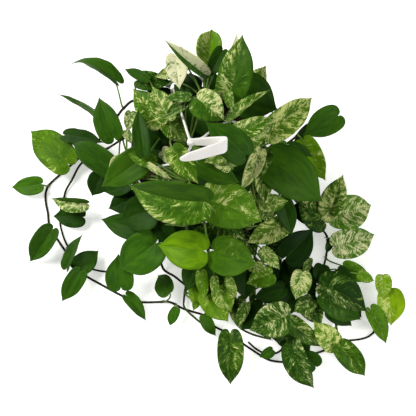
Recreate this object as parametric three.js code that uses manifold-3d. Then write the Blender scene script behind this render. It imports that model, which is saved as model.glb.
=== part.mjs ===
// Potted marble queen pothos in a hanging pot that stands on a table.
// Millimetres. Z is up, the pot stands on Z = 0 with its axis on X = Y = 0, and the front is -Y.
// Every leafy stem is one body: the stem, its leaf stalks and its heart-shaped leaves grow together.

import * as THREE from 'three';
import { mergeVertices } from 'three/addons/utils/BufferGeometryUtils.js';
import Module from 'manifold-3d';

const wasm = await Module();
wasm.setup();

// Pot: a 10 inch dark plastic pot with a rolled rim.
const POT_SIDES = 28;
const RIM_RADIUS = 127;
const RIM_INNER = 121;
const RIM_TOP = 180;
const RIM_HEIGHT = 12;
const BASE_RADIUS = 91;
const FLOOR = 5;
const FLOOR_RADIUS = 87.5;
const SHOULDER_RADIUS = 118;
const SHOULDER_HEIGHT = 164;
const RIM_CHAMFER = 1.5;
const RIM_FLARE = 5.5;

// Soil: fills the pot to a little under its rim, with a plain hole for every stem.
const SOIL_GAP = 0.4;
const SOIL_EDGE = 155;
const SOIL_TOP = 159;
const SOIL_CROWN = 70;
const HOLE_FLOOR = 132;
const HOLE_MOUTH = 164;
const HOLE_GAP = 0.4;
const HOLE_SIDES = 5;
const ROOT_END = 133;

// Stems and leaf stalks.
const STEM_RADIUS = 2.7;
const STEM_TIP_RADIUS = 2.0;
const STEM_SIDES = 5;
const CROWN_RADIUS = 3.2;
const STALK_RADIUS = 2.1;
const STALK_SIDES = 3;
const STALK_PLACES = [0, 0.25, 0.7, 1];
const STALK_TAPER = 0.3;
const START_BACK = 0.35;
const STALK_LEAVE = 0.5;
const STALK_BEHIND = 0.28;
const STALK_UNDER = 0.2;
const LAND_ALONG = 0.2;
const LAND_ASIDE = 0.12;

// The side of a bar on which its first corner lies.
const SEAM = new THREE.Vector3(0.31, 0.77, 0.56);

// Leaf blades.
const BLADE = 1.1;
const LARGE_LEAF = 120;
const SMALL_LEAF = 70;
const UNEVEN = 0.07;
const WAVE = 0.012;
const WAVES = 9;
const SWAY = 0.035;
const LEAF_NUMBERS = 50;

// The direction a leaf faces when it isn't rolled: up and a little to the front.
const SKYWARD = new THREE.Vector3(0, -0.2588, 0.9659);

// Hanger: a strap hook and three thin strands that clip over the rim.
const STRAP_THICK = 3.6;
const STRAND_RADIUS = 2.1;
const STRAND_SIDES = 5;
const STRAND_START = 8.2;
const STRAND_RISE = 8;
const HUB_RADIUS = 6;
const HUB_HEIGHT = 9;
const HUB_RISE = 3;
const HUB_SIDES = 8;
const CLIP_WIDTH = 12;
const CLIP_WALL = 2.6;
const CLIP_GAP = 1.1;
const CLIP_DROP = 7;
const CLIP_ANGLES = [112, 352, 208];
const HUB = [-9, -53, 350];

// Outline of half a leaf as [along its length, out to the side], base notch first and tip last.
// Each edge point is joined to the midrib at the place with the same number in the second list.
const LARGE = {
  edge: [[-0.09, 0.24], [-0.11, 0.6], [0.06, 0.94], [0.34, 1], [0.63, 0.79], [0.87, 0.29]],
  mid: [0, 0, 0.2, 0.2, 0.48, 0.78],
};
const MEDIUM = {
  edge: [[-0.1, 0.34], [-0.04, 0.8], [0.22, 1.02], [0.58, 0.85], [0.86, 0.31]],
  mid: [0, 0, 0.26, 0.26, 0.68],
};
const SMALL = {
  edge: [[-0.1, 0.48], [0.14, 1], [0.52, 0.91], [0.85, 0.33]],
  mid: [0, 0, 0.42, 0.42],
};

// A leaf: the point where its stalk joins it, its tip, its width, then its roll and fold in degrees,
// how far it arches as a share of its length, and the direction it faces if that isn't skyward.
function leaf(base, tip, width, roll, fold, arch, face) {
  return { base, tip, width, roll, fold, arch, face };
}

const VINES = {
  vine_outer: {
    stems: [[
      [-65, 58, 162], [-72, 61, 178], [-92, 69, 189], [-121, 93, 187], [-148, 97, 142], [-163, 95, 112],
      [-186, 82, 80], [-209, 67, 50], [-238, 53, 22], [-261, 37, 9], [-295, 7, 3], [-320, -18, 3],
      [-327, -36, 3], [-326, -58, 3], [-320, -82, 3], [-314, -112, 3], [-291, -147, 3], [-272, -172, 3],
      [-241, -210, 3], [-203, -233, 3], [-151, -260, 3], [-120, -270, 3], [-83, -270, 3], [-59, -270, 3],
      [-30, -284, 3], [13, -298, 3], [31, -318, 3], [53, -330, 3], [93, -356, 3], [127, -378, 3],
      [147, -387, 3], [177, -389, 3], [201, -384, 3], [223, -376, 3], [254, -366, 3], [287, -350, 3],
      [329, -344, 3], [350, -334, 3], [372, -310, 3], [386, -286, 5],
    ]],
    leaves: [
      leaf([-167, 156, 147], [-269, 207, 111], 46, -50, 20, 0.16),
      leaf([-205, 98, 120], [-295, 151, 90], 42, 74, 20, -0.07),
      leaf([-278, 18, 36], [-366, 99, 16], 76, 0, 10, 0.08),
      leaf([-336, -24, 22], [-400, -27, 10], 40, 0, 8, 0.05),
      leaf([-300, -127, 38], [-350, -188, 7], 55, 0, 35, 0.08),
      leaf([-240, -213, 34], [-279, -270, 7], 40, 15, 15, 0.08),
      leaf([-144, -261, 28], [-106, -309, 9], 32, 40, 15, 0.1),
      leaf([-59, -254, 40], [-83, -216, 14], 44, 10, 15, 0.05),
      leaf([-45, -287, 25], [-58, -319, 7], 22, 0, 10, 0.1),
      leaf([11, -302, 30], [35, -339, 9], 28, 0, 15, 0.05),
      leaf([62, -340, 45], [63, -434, 7], 52, 0, 15, 0.12),
      leaf([184, -360, 45], [229, -440, 7], 56, -25, 25, 0.1),
      leaf([230, -398, 20], [200, -367, 26], 44, 0, 10, 0.05),
      leaf([277, -360, 46], [328, -417, 15], 45, 0, 15, 0.1),
      leaf([341, -291, 46], [374, -355, 15], 39, 15, 15, 0.08),
      leaf([378, -256, 45], [386, -319, 16], 58, 0, 12, 0.08),
      leaf([365, -226, 56], [366, -270, 46], 36, 0, 15, 0.05),
      leaf([146, -367, 20], [121, -380, 9], 22, 0, 15, 0.05),
      leaf([-280, 75, 52], [-200, 59, 48], 54, 50, 5, 0.05),
      leaf([-249, -204, 28], [-206, -166, 20], 45, 0, 15, 0.05),
      leaf([267, -360, 40], [225, -312, 45], 45, 0, 12, 0.05),
    ],
  },
  vine_left: {
    stems: [[
      [-74, 6, 162], [-82, 6, 178], [-98, 7, 188], [-127, 22, 187], [-146, 35, 140], [-182, 38, 80],
      [-219, 34, 42], [-252, 22, 20], [-272, -11, 9], [-284, -32, 5], [-288, -49, 3], [-293, -75, 3],
      [-293, -102, 3], [-288, -123, 3], [-278, -147, 3], [-265, -166, 3],
    ]],
    leaves: [
      leaf([-166, 36, 141], [-196, 115, 156], 56, 10, 15, 0.05),
      leaf([-165, -23, 110], [-260, 48, 76], 59, 0, 28, 0.1),
      leaf([-145, -10, 138], [-176, -27, 132], 35, 0, 30, 0),
      leaf([-201, -18, 60], [-221, -57, 45], 49, 0, 10, 0.05),
      leaf([-138, -54, 120], [-188, -63, 95], 35, 0, 10, 0.05),
      leaf([-233, -71, 42], [-309, -57, 30], 45, 20, 45, 0.05),
      leaf([-244, -95, 18], [-307, -91, 12], 46, 0, 8, 0.05),
      leaf([-267, -202, 30], [-236, -136, 42], 41, 45, 20, 0.05),
    ],
  },
  vine_front_left: {
    stems: [
      [
        [-48, -60, 162], [-52, -74, 178], [-59, -93, 188], [-68, -110, 188], [-77, -130, 145],
        [-78, -148, 80], [-81, -172, 25], [-101, -190, 6], [-126, -204, 3], [-159, -212, 3],
        [-184, -208, 3], [-204, -206, 3], [-221, -202, 3],
      ],
      [[-80, -166, 40], [-74, -201, 8], [-49, -218, 3], [-18, -243, 3], [3, -258, 3]],
    ],
    leaves: [
      leaf([-82, -171, 114], [-155, -213, 64], 86, 0, 15, 0.1),
      leaf([-93, -148, 112], [-194, -115, 82], 55, 0, 20, 0.08),
      leaf([-88, -115, 144], [-149, -127, 116], 69, 0, 15, 0.05),
      leaf([-114, -85, 112], [-146, -101, 100], 27, 0, 10, 0.05),
      leaf([-155, -245, 42], [-160, -180, 60], 55, 0, 12, 0.05),
      leaf([-70, -120, 112], [-101, -162, 102], 47, 0, 10, 0.05),
      leaf([-128, -77, 96], [-179, -96, 90], 48, 0, 10, 0.05),
    ],
  },
  vine_young: {
    stems: [[
      [-23, -75, 162], [-22, -92, 178], [-21, -109, 189], [-21, -130, 188], [-21, -156, 120],
      [-21, -196, 50], [-26, -237, 17], [-30, -267, 13], [-28, -283, 11], [-5, -305, 10], [19, -322, 10],
    ]],
    leaves: [
      leaf([-5, -270, 40], [-17, -230, 50], 24, 0, 15, 0.05),
      leaf([-1, -264, 22], [-11, -289, 14], 18, 0, 15, 0.05),
      leaf([17, -259, 51], [60, -312, 23], 54, 0, 12, 0.08),
      leaf([5, -223, 90], [13, -271, 60], 27, 0, 20, 0.05),
      leaf([-5, -199, 70], [-24, -257, 60], 43, 0, 12, 0.05),
      leaf([-24, -131, 108], [-39, -168, 96], 47, 0, 10, 0.05),
      leaf([-73, -141, 130], [-35, -179, 118], 40, 0, 12, 0.05),
    ],
  },
  vine_front: {
    stems: [[
      [13, -75, 162], [13, -92, 178], [13, -109, 190], [12, -130, 190], [13, -148, 145], [19, -175, 70],
      [31, -207, 20], [48, -246, 5], [60, -276, 3], [68, -300, 3], [84, -322, 3], [106, -334, 3],
      [126, -340, 3], [146, -344, 3],
    ]],
    leaves: [
      leaf([10, -195, 162], [-75, -180, 138], 71, 0, 10, 0.08),
      leaf([32, -193, 152], [110, -212, 122], 74, 0, 10, 0.08),
      leaf([31, -235, 97], [35, -269, 74], 19, 0, 20, 0.05),
      leaf([58, -237, 96], [75, -270, 71], 23, 0, 20, 0.05),
      leaf([40, -253, 72], [64, -295, 50], 43, 0, 15, 0.08),
      leaf([27, -208, 74], [11, -269, 60], 51, 0, 10, 0.05),
      leaf([54, -208, 54], [67, -267, 44], 55, 0, 10, 0.05),
      leaf([3, -134, 96], [-52, -159, 88], 51, 0, 10, 0.05),
      leaf([31, -126, 120], [92, -164, 112], 58, 0, 10, 0.05),
      leaf([6, -146, 138], [36, -188, 124], 40, 0, 12, 0.05),
    ],
  },
  vine_front_right: {
    stems: [[
      [65, -71, 162], [66, -84, 178], [69, -97, 188], [74, -111, 188], [90, -139, 130], [111, -183, 60],
      [127, -227, 15], [135, -266, 5], [141, -306, 4], [148, -338, 4], [168, -358, 4],
      [160, -370, 3], [138, -374, 3], [116, -364, 3], [100, -350, 3],
    ]],
    leaves: [
      leaf([163, -138, 136], [93, -169, 108], 50, 0, 20, 0.05),
      leaf([123, -186, 120], [157, -219, 98], 27, 0, 15, 0.05),
      leaf([124, -211, 90], [92, -215, 79], 23, 0, 15, 0.05),
      leaf([142, -225, 80], [94, -242, 62], 41, 0, 12, 0.05),
      leaf([167, -250, 59], [107, -267, 44], 40, 0, 12, 0.05),
      leaf([107, -239, 48], [107, -293, 23], 16, 0, 20, 0.05),
      leaf([173, -304, 76], [99, -331, 51], 73, 0, 12, 0.05),
      leaf([94, -281, 48], [79, -324, 25], 24, 0, 15, 0.05),
      leaf([225, -272, 46], [188, -294, 36], 36, 0, 12, 0.05),
      leaf([180, -314, 48], [245, -361, 20], 39, 0, 12, 0.05),
      leaf([94, -214, 62], [94, -272, 52], 55, 0, 10, 0.05),
      leaf([78, -268, 26], [85, -329, 20], 40, 0, 15, 0.05),
      leaf([144, -127, 105], [101, -173, 98], 51, 0, 10, 0.05),
      leaf([171, -158, 85], [125, -205, 80], 51, 0, 12, 0.05),
      leaf([167, -196, 50], [142, -271, 42], 56, 0, 10, 0.05),
      leaf([188, -246, 34], [154, -309, 28], 52, 0, 10, 0.05),
      leaf([127, -282, 34], [85, -328, 24], 48, 0, 10, 0.05),
      leaf([165, -329, 40], [185, -367, 26], 39, 0, 10, 0.05),
      leaf([88, -133, 98], [113, -194, 84], 44, 0, 12, 0.05),
    ],
  },
  vine_right: {
    stems: [[
      [104, -25, 162], [108, -28, 176], [118, -33, 188], [134, -46, 184], [146, -58, 160], [204, -84, 75],
      [240, -108, 30], [268, -135, 8], [265, -173, 4], [257, -204, 3], [253, -241, 3], [244, -276, 3],
      [238, -306, 3],
    ]],
    leaves: [
      leaf([249, -125, 97], [192, -80, 122], 59, 0, 15, 0.05),
      leaf([253, -111, 121], [279, -42, 146], 50, 25, 15, 0.05),
      leaf([264, -108, 90], [353, -78, 55], 71, 0, 20, 0.08),
      leaf([277, -163, 52], [364, -132, 22], 64, 0, 10, 0.08),
      leaf([268, -150, 48], [258, -177, 40], 16, 0, 15, 0.05),
      leaf([294, -204, 42], [350, -230, 24], 36, 0, 15, 0.05),
      leaf([317, -223, 66], [348, -235, 56], 24, 0, 15, 0.05),
      leaf([278, -213, 54], [305, -240, 50], 30, 0, 10, 0.05),
      leaf([294, -264, 20], [329, -303, 14], 40, 0, 12, 0.05),
      leaf([201, -89, 100], [240, -131, 90], 47, 0, 10, 0.05),
      leaf([243, -208, 74], [232, -243, 72], 34, 0, 10, 0.05),
    ],
  },
  vine_lower_right: {
    stems: [[
      [86, -50, 162], [89, -56, 178], [98, -68, 190], [110, -80, 191], [128, -96, 174],
      [169, -133, 105], [210, -171, 50], [234, -207, 22], [256, -247, 14], [271, -277, 11], [277, -317, 10],
      [280, -343, 10],
    ]],
    leaves: [
      leaf([170, -195, 104], [221, -143, 122], 61, 0, 12, 0.05),
      leaf([201, -225, 90], [190, -273, 64], 43, 0, 15, 0.05),
      leaf([216, -197, 88], [207, -228, 75], 18, 0, 15, 0.05),
      leaf([241, -249, 85], [330, -297, 60], 74, 35, 20, 0.08),
      leaf([250, -262, 62], [324, -308, 27], 62, 0, 12, 0.08),
      leaf([200, -199, 48], [234, -267, 42], 46, 0, 10, 0.05),
      leaf([212, -269, 28], [246, -320, 24], 48, 0, 12, 0.05),
      leaf([198, -340, 22], [211, -390, 14], 40, 0, 10, 0.05),
      leaf([185, -218, 60], [218, -199, 56], 40, 0, 10, 0.05),
      leaf([263, -289, 30], [307, -320, 20], 40, 0, 10, 0.05),
      leaf([120, -125, 162], [151, -119, 152], 24, 0, 12, 0.05),
    ],
  },
  vine_back_right: {
    stems: [[
      [102, 12, 162], [106, 8, 176], [118, 0, 188], [134, -4, 184], [150, -2, 168], [168, 16, 150],
      [192, 41, 128], [211, 67, 112], [231, 85, 100],
    ]],
    leaves: [
      leaf([276, 82, 138], [208, 47, 118], 60, 0, 8, 0.05),
      leaf([211, 36, 112], [258, -34, 77], 54, -20, 15, 0.05),
      leaf([228, 74, 96], [192, 42, 88], 26, 0, 12, 0.05),
      leaf([176, 8, 166], [221, -10, 154], 24, 0, 12, 0.05),
    ],
  },
  crown_back: {
    stems: [[[3, 27, 162], [4, 44, 185], [10, 70, 205], [15, 98, 215]]],
    leaves: [
      leaf([-41, 154, 248], [-33, 91, 240], 43, 0, 10, 0.05),
      leaf([-41, 136, 228], [-81, 125, 222], 26, 0, 15, 0.05),
      leaf([10, 117, 254], [-60, 161, 300], 44, -4, 54, 0.05),
      leaf([22, 139, 232], [27, 245, 190], 68, 3, 44, 0),
      leaf([45, 157, 262], [15, 107, 246], 34, 0, 15, 0.05),
      leaf([58, 71, 265], [80, 168, 305], 66, 0, 18, 0.08),
      leaf([73, 121, 239], [70, 179, 289], 33, 0, 15, 0.05),
      leaf([94, 96, 225], [126, 133, 255], 43, 0, 15, 0.05),
      leaf([74, 87, 243], [148, 57, 225], 88, 0, 10, 0.05),
      leaf([30, 107, 196], [15, 153, 204], 36, 0, 10, 0.05),
      leaf([54, 66, 278], [63, 34, 268], 20, 0, 20, 0.05),
      leaf([107, 92, 172], [132, 114, 92], 62, 0, 14, 0.1, [0.77, 0.64, 0.35]),
      leaf([66, 126, 178], [80, 156, 95], 66, 0, 12, 0.12, [0.47, 0.88, 0.35]),
      leaf([10, 142, 172], [16, 172, 82], 64, 0, 14, 0.1, [0.1, 0.99, 0.35]),
      leaf([-50, 138, 172], [-60, 166, 84], 64, 0, 12, 0.12, [-0.4, 0.9, 0.35]),
      leaf([-18, 80, 228], [-46, 110, 224], 26, 0, 8, 0.05),
      leaf([-4, 113, 192], [-37, 144, 188], 40, 0, 8, 0.05),
    ],
  },
  crown_left: {
    stems: [[[-39, 27, 162], [-49, 21, 190], [-71, 29, 205], [-93, 45, 205]]],
    leaves: [
      leaf([-68, 25, 245], [-118, 89, 250], 50, 0, 12, 0.05),
      leaf([-94, -39, 258], [-106, 45, 262], 32, 0, 20, 0.05),
      leaf([-126, 60, 205], [-131, 22, 200], 23, 0, 15, 0.05),
      leaf([-135, 27, 195], [-124, 3, 190], 17, 0, 15, 0.05),
      leaf([-95, 119, 225], [-140, 145, 215], 21, 0, 15, 0.05),
      leaf([-113, 122, 215], [-49, 120, 212], 38, 0, 12, 0.05),
      leaf([-66, 14, 213], [-104, 57, 216], 33, 0, 12, 0.05),
      leaf([-94, 116, 168], [-108, 138, 92], 48, 0, 15, 0.1, [-0.6, 0.8, 0.35]),
      leaf([-59, -5, 220], [-92, 25, 224], 45, 0, 10, 0.05),
      leaf([-71, 17, 188], [-108, -23, 184], 41, 0, 10, 0.05),
      leaf([-58, 104, 192], [-111, 100, 192], 29, 0, 8, 0.05),
      leaf([-74, -11, 196], [-40, -64, 192], 45, 0, 8, 0.05),
    ],
  },
  crown_centre: {
    stems: [[[-6, -15, 162], [-15, -13, 190], [-21, -14, 230]]],
    leaves: [
      leaf([-53, 21, 270], [-80, 82, 272], 43, 0, 15, 0.05),
      leaf([-14, 38, 322], [-56, 45, 308], 21, 0, 25, 0.05),
      leaf([-15, 42, 306], [-59, 12, 290], 24, 0, 25, 0.05),
      leaf([-13, 70, 228], [17, 2, 220], 57, 0, 10, 0.05),
      leaf([-54, 36, 242], [-17, -11, 228], 49, 0, 12, 0.05),
      leaf([-37, -62, 336], [4, -114, 316], 41, 0, 14, 0.05),
      leaf([-62, -27, 232], [-28, -48, 224], 28, 0, 15, 0.05),
      leaf([2, 34, 323], [47, 3, 303], 55, 0, 20, 0.08),
      leaf([79, -60, 312], [14, -12, 335], 52, 0, 6, 0.05),
      leaf([55, -55, 304], [12, -69, 292], 27, 0, 15, 0.05),
      leaf([50, -61, 266], [70, -67, 269], 17, 0, 40, 0.1),
      leaf([5, -65, 275], [75, -94, 258], 44, 0, 15, 0.05),
      leaf([4, 38, 184], [1, -29, 189], 56, 0, 8, 0.05),
      leaf([-15, 43, 209], [34, 1, 204], 49, 0, 8, 0.05),
      leaf([55, -76, 292], [17, -51, 286], 28, 0, 15, 0.05),
    ],
  },
  crown_right: {
    stems: [[[52, -4, 162], [64, -9, 190], [87, -18, 215], [110, -23, 218]]],
    leaves: [
      leaf([127, 3, 248], [213, 83, 224], 56, -15, 20, 0.08),
      leaf([65, -24, 316], [130, 11, 302], 35, 0, 15, 0.05),
      leaf([58, 6, 306], [127, 58, 310], 32, 45, 25, 0.05),
      leaf([132, -36, 218], [232, -104, 169], 82, 0, 10, 0.08),
      leaf([110, -39, 262], [75, -105, 240], 37, 0, 35, 0.05),
      leaf([122, -39, 205], [121, -119, 197], 40, 0, 15, 0.05),
      leaf([105, -60, 196], [118, -143, 172], 29, 0, 15, 0.05),
      leaf([117, -112, 192], [168, -104, 177], 36, 0, 15, 0.05),
      leaf([156, -97, 165], [178, -161, 135], 37, 0, 12, 0.05),
      leaf([45, -17, 216], [95, -60, 216], 59, 0, 8, 0.05),
      leaf([85, -55, 200], [74, -117, 190], 40, 0, 10, 0.05),
      leaf([79, 31, 201], [131, -10, 194], 49, 0, 8, 0.05),
      leaf([116, -26, 238], [94, -88, 232], 44, 0, 8, 0.05),
      leaf([89, -26, 264], [140, 26, 262], 32, 0, 12, 0.05),
      leaf([159, 8, 194], [135, -13, 190], 24, 0, 12, 0.05),
    ],
  },
  crown_front: {
    stems: [[[4, -35, 162], [-5, -52, 190], [-14, -75, 215], [-22, -96, 220]]],
    leaves: [
      leaf([12, -130, 266], [-123, -89, 236], 84, 24, 22, 0.08),
      leaf([17, -120, 245], [116, -151, 205], 84, 0, 12, 0.08),
      leaf([-90, -34, 230], [-179, -79, 184], 58, 0, 12, 0.08),
      leaf([-84, -59, 248], [-43, -84, 243], 18, 0, 50, 0.1),
      leaf([-110, -60, 215], [-83, -69, 212], 15, 0, 40, 0.05),
      leaf([-116, -75, 209], [-92, -95, 204], 16, 0, 40, 0.05),
      leaf([-46, -60, 225], [-77, -94, 215], 29, 0, 20, 0.05),
      leaf([-68, -65, 212], [-35, -96, 208], 25, 0, 20, 0.05),
      leaf([15, -56, 213], [66, -105, 213], 55, 0, 10, 0.05),
      leaf([-33, -44, 200], [-84, -66, 198], 44, 0, 12, 0.05),
      leaf([-79, -50, 242], [-125, -33, 239], 32, 0, 30, 0.08),
      leaf([30, -62, 198], [-3, -118, 192], 48, 0, 8, 0.05),
    ],
  },
};

// A repeatable draw between -1 and 1 for leaf number i.
function draw(i, k) {
  const s = Math.sin(i * 12.9898 + k * 78.233) * 43758.5453;
  return 2 * (s - Math.floor(s)) - 1;
}

function vec(p) {
  return new THREE.Vector3(p[0], p[1], p[2]);
}

// The leaf's own directions: along its length, to its side and out of its face.
function leafAxes(spec) {
  const base = vec(spec.base);
  const along = vec(spec.tip).sub(base);
  const length = along.length();
  along.divideScalar(length);
  const face = spec.face ? vec(spec.face).normalize() : SKYWARD.clone();
  const up = face.addScaledVector(along, -face.dot(along)).normalize();
  const side = new THREE.Vector3().crossVectors(along, up);
  const roll = THREE.MathUtils.degToRad(spec.roll);
  const across = side.clone().multiplyScalar(Math.cos(roll)).addScaledVector(up, Math.sin(roll));
  const out = up.clone().multiplyScalar(Math.cos(roll)).addScaledVector(side, -Math.sin(roll));
  return { base, length, along, across, out };
}

function outlineOf(length) {
  if (length < SMALL_LEAF) {
    return SMALL;
  }
  return length < LARGE_LEAF ? MEDIUM : LARGE;
}

// A point of the blade's middle surface: p runs along the leaf, q from -1 to 1 across it.
function bladePoint(spec, axes, i, p, q) {
  const { base, length, along, across, out } = axes;
  const fold = THREE.MathUtils.degToRad(spec.fold);
  const bow = p > 0 ? 4 * p * (1 - p) : 4 * p;
  const half = spec.width / 2;
  const w = q * half * (1 + UNEVEN * draw(i, q > 0 ? 1 : 2));
  const lift = spec.arch * length * bow + Math.abs(w) * Math.sin(fold)
    + WAVE * length * q * q * Math.sin(WAVES * p + 3 * draw(i, q > 0 ? 3 : 4));
  const sway = SWAY * length * draw(i, 5) * (p > 0 ? bow : 0);
  return base.clone()
    .addScaledVector(along, p * length)
    .addScaledVector(out, lift)
    .addScaledVector(across, w * Math.cos(fold) + sway);
}

// A closed solid from a point list and a triangle list.
function solid(points, triangles) {
  const vertProperties = new Float32Array(points.length * 3);
  points.forEach((p, i) => vertProperties.set([p.x, p.y, p.z], i * 3));
  const mesh = new wasm.Mesh({ numProp: 3, vertProperties, triVerts: new Uint32Array(triangles) });
  return new wasm.Manifold(mesh);
}

// Rings of points round a path, one ring at each of its points from number first to number last.
function ringPoints(path, radii, sides, first, last) {
  const points = [];
  let side = SEAM;
  for (let k = first; k <= last; k += 1) {
    const next = path[Math.min(k + 1, path.length - 1)];
    const prev = path[Math.max(k - 1, 0)];
    const dir = next.clone().sub(prev).normalize();
    side = side.clone().addScaledVector(dir, -side.dot(dir)).normalize();
    const other = new THREE.Vector3().crossVectors(dir, side);
    for (let j = 0; j < sides; j += 1) {
      const a = (2 * Math.PI * j) / sides;
      points.push(path[k].clone()
        .addScaledVector(side, radii[k] * Math.cos(a))
        .addScaledVector(other, radii[k] * Math.sin(a)));
    }
  }
  return points;
}

// The triangles between rings of the same number of points, the first ring starting at point start.
function ringTriangles(start, rings, sides) {
  const triangles = [];
  for (let k = 0; k + 1 < rings; k += 1) {
    for (let j = 0; j < sides; j += 1) {
      const a = start + k * sides + j;
      const b = start + k * sides + ((j + 1) % sides);
      triangles.push(a, b, b + sides, a, b + sides, a + sides);
    }
  }
  return triangles;
}

// A round bar through a list of points, with a radius at each point and flat ends.
function barSolid(path, radii, sides) {
  const points = ringPoints(path, radii, sides, 0, path.length - 1);
  const triangles = ringTriangles(0, path.length, sides);
  const end = (path.length - 1) * sides;
  for (let j = 1; j + 1 < sides; j += 1) {
    triangles.push(0, j + 1, j, end, end + j, end + j + 1);
  }
  return solid(points, triangles);
}

// A round bar that tapers to a point at both ends.
function spindleSolid(path, radii, sides) {
  const last = path.length - 1;
  const points = [path[0], ...ringPoints(path, radii, sides, 1, last - 1), path[last]];
  const tip = points.length - 1;
  const triangles = ringTriangles(1, last - 1, sides);
  for (let j = 0; j < sides; j += 1) {
    const n = (j + 1) % sides;
    triangles.push(0, 1 + n, 1 + j, tip, tip - sides + j, tip - sides + n);
  }
  return solid(points, triangles);
}

// The point of the stems where a leaf's stalk starts: a little nearer the root than the closest point.
function stalkStart(stems, target) {
  let best = { gap: Infinity };
  stems.forEach((stem) => {
    for (let k = 0; k + 1 < stem.length; k += 1) {
      const segment = new THREE.Line3(stem[k], stem[k + 1]);
      const point = segment.closestPointToPoint(target, true, new THREE.Vector3());
      const gap = point.distanceTo(target);
      if (gap < best.gap) {
        best = { gap, point, dir: stem[k + 1].clone().sub(stem[k]).normalize(), low: stem[k] };
      }
    }
  });
  const back = Math.min(START_BACK * best.gap, best.point.distanceTo(best.low));
  best.point.addScaledVector(best.dir, -back);
  return best;
}

// Where a stalk ends inside its blade: on the blade's first facet beside the notch.
function stalkEnd(spec, axes, i) {
  const { edge, mid } = outlineOf(axes.length);
  const notch = bladePoint(spec, axes, i, 0, 0);
  const middle = bladePoint(spec, axes, i, mid[2], 0);
  const rim = bladePoint(spec, axes, i, edge[2][0], edge[2][1]);
  return notch.multiplyScalar(1 - LAND_ALONG - LAND_ASIDE)
    .addScaledVector(middle, LAND_ALONG)
    .addScaledVector(rim, LAND_ASIDE);
}

// A leaf stalk: leaves the stem upward and comes to the blade from behind and below its base.
function stalkSolid(spec, i, stems) {
  const axes = leafAxes(spec);
  const start = stalkStart(stems, axes.base);
  const reach = start.point.distanceTo(axes.base);
  const rise = new THREE.Vector3(0, 0, 0.5).addScaledVector(start.dir, 0.5);
  const p1 = start.point.clone().addScaledVector(rise, STALK_LEAVE * reach);
  const p3 = stalkEnd(spec, axes, i);
  const p2 = p3.clone().addScaledVector(axes.along, -(spec.face ? STALK_LEAVE : STALK_BEHIND) * reach);
  if (!spec.face) {
    p2.addScaledVector(axes.out, -STALK_UNDER * reach);
  }
  const curve = new THREE.CubicBezierCurve3(start.point, p1, p2, p3);
  const path = STALK_PLACES.map((t) => curve.getPoint(t));
  const radii = STALK_PLACES.map((t) => STALK_RADIUS * (1 - STALK_TAPER * t));
  return spindleSolid(path, radii, STALK_SIDES);
}

// Several solids fused into one.
function join(solids) {
  return solids.reduce((sum, piece) => sum.add(piece));
}

// One leaf blade: both faces are split into the same triangles, with a narrow wall round the edge.
function bladeSolid(spec, i) {
  const axes = leafAxes(spec);
  const { edge, mid } = outlineOf(axes.length);
  const points = [];
  const add = (p, q) => points.push(bladePoint(spec, axes, i, p, q)) - 1;
  const notch = add(0, 0);
  const places = new Map([[0, notch]]);
  const middle = mid.map((p) => {
    if (!places.has(p)) {
      places.set(p, add(p, 0));
    }
    return places.get(p);
  });
  const right = edge.map(([p, q]) => add(p, q));
  const left = edge.map(([p, q]) => add(p, -q));
  const tip = add(1, 0);
  const faces = [];
  const tri = (a, b, c, flip) => {
    if (a !== c) {
      faces.push(flip ? [a, c, b] : [a, b, c]);
    }
  };
  [[right, false], [left, true]].forEach(([rim, flip]) => {
    for (let k = 0; k + 1 < rim.length; k += 1) {
      tri(middle[k], rim[k], rim[k + 1], flip);
      tri(middle[k], rim[k + 1], middle[k + 1], flip);
    }
    const last = rim.length - 1;
    tri(middle[last], rim[last], tip, flip);
  });
  const n = points.length;
  const thick = BLADE / Math.cos(THREE.MathUtils.degToRad(spec.fold));
  const top = points.map((p) => p.clone().addScaledVector(axes.out, thick / 2));
  const bottom = points.map((p) => p.clone().addScaledVector(axes.out, -thick / 2));
  const triangles = [];
  faces.forEach(([a, b, c]) => {
    triangles.push(a, b, c, n + a, n + c, n + b);
  });
  const outline = [notch, ...right, tip, ...left.slice().reverse()];
  outline.forEach((a, k) => {
    const b = outline[(k + 1) % outline.length];
    triangles.push(b, a, n + a, b, n + a, n + b);
  });
  return solid([...top, ...bottom], triangles);
}

// A stem from its end in the soil to its tip.
function stemSolid(stem, radius, rooted) {
  const path = rooted ? [new THREE.Vector3(stem[0].x, stem[0].y, ROOT_END), ...stem] : stem;
  const count = path.length - 1;
  const radii = path.map((p, k) => radius + (STEM_TIP_RADIUS - radius) * (k / count));
  if (rooted) {
    radii[0] = radius;
    radii[1] = radius;
  }
  return barSolid(path, radii, STEM_SIDES);
}

// A mesh from a fused solid.
function meshOf(body, name, material) {
  const data = body.getMesh();
  const geometry = new THREE.BufferGeometry();
  geometry.setAttribute('position', new THREE.BufferAttribute(new Float32Array(data.vertProperties), 3));
  geometry.setIndex(new THREE.BufferAttribute(new Uint32Array(data.triVerts), 1));
  geometry.computeVertexNormals();
  const mesh = new THREE.Mesh(geometry, material);
  mesh.name = name;
  return mesh;
}

// The short stems of the crown are thicker than the long ones.
function rootRadius(name) {
  return name.startsWith('crown') ? CROWN_RADIUS : STEM_RADIUS;
}

function leafyStem(name, vine, first) {
  const stems = vine.stems.map((stem) => stem.map(vec));
  const pieces = stems.map((stem, k) => stemSolid(stem, rootRadius(name), k === 0));
  vine.leaves.forEach((spec, k) => {
    pieces.push(stalkSolid(spec, first + k, stems));
    pieces.push(bladeSolid(spec, first + k));
  });
  return join(pieces);
}

const material = (color, roughness) => new THREE.MeshStandardMaterial({ color, roughness });

const group = new THREE.Group();
group.name = 'potted_marble_queen_pothos';

// Pot.
function lathe(profile) {
  const geometry = new THREE.LatheGeometry(profile.map(([r, z]) => new THREE.Vector2(r, z)), POT_SIDES);
  geometry.rotateX(Math.PI / 2);
  return geometry;
}

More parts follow.
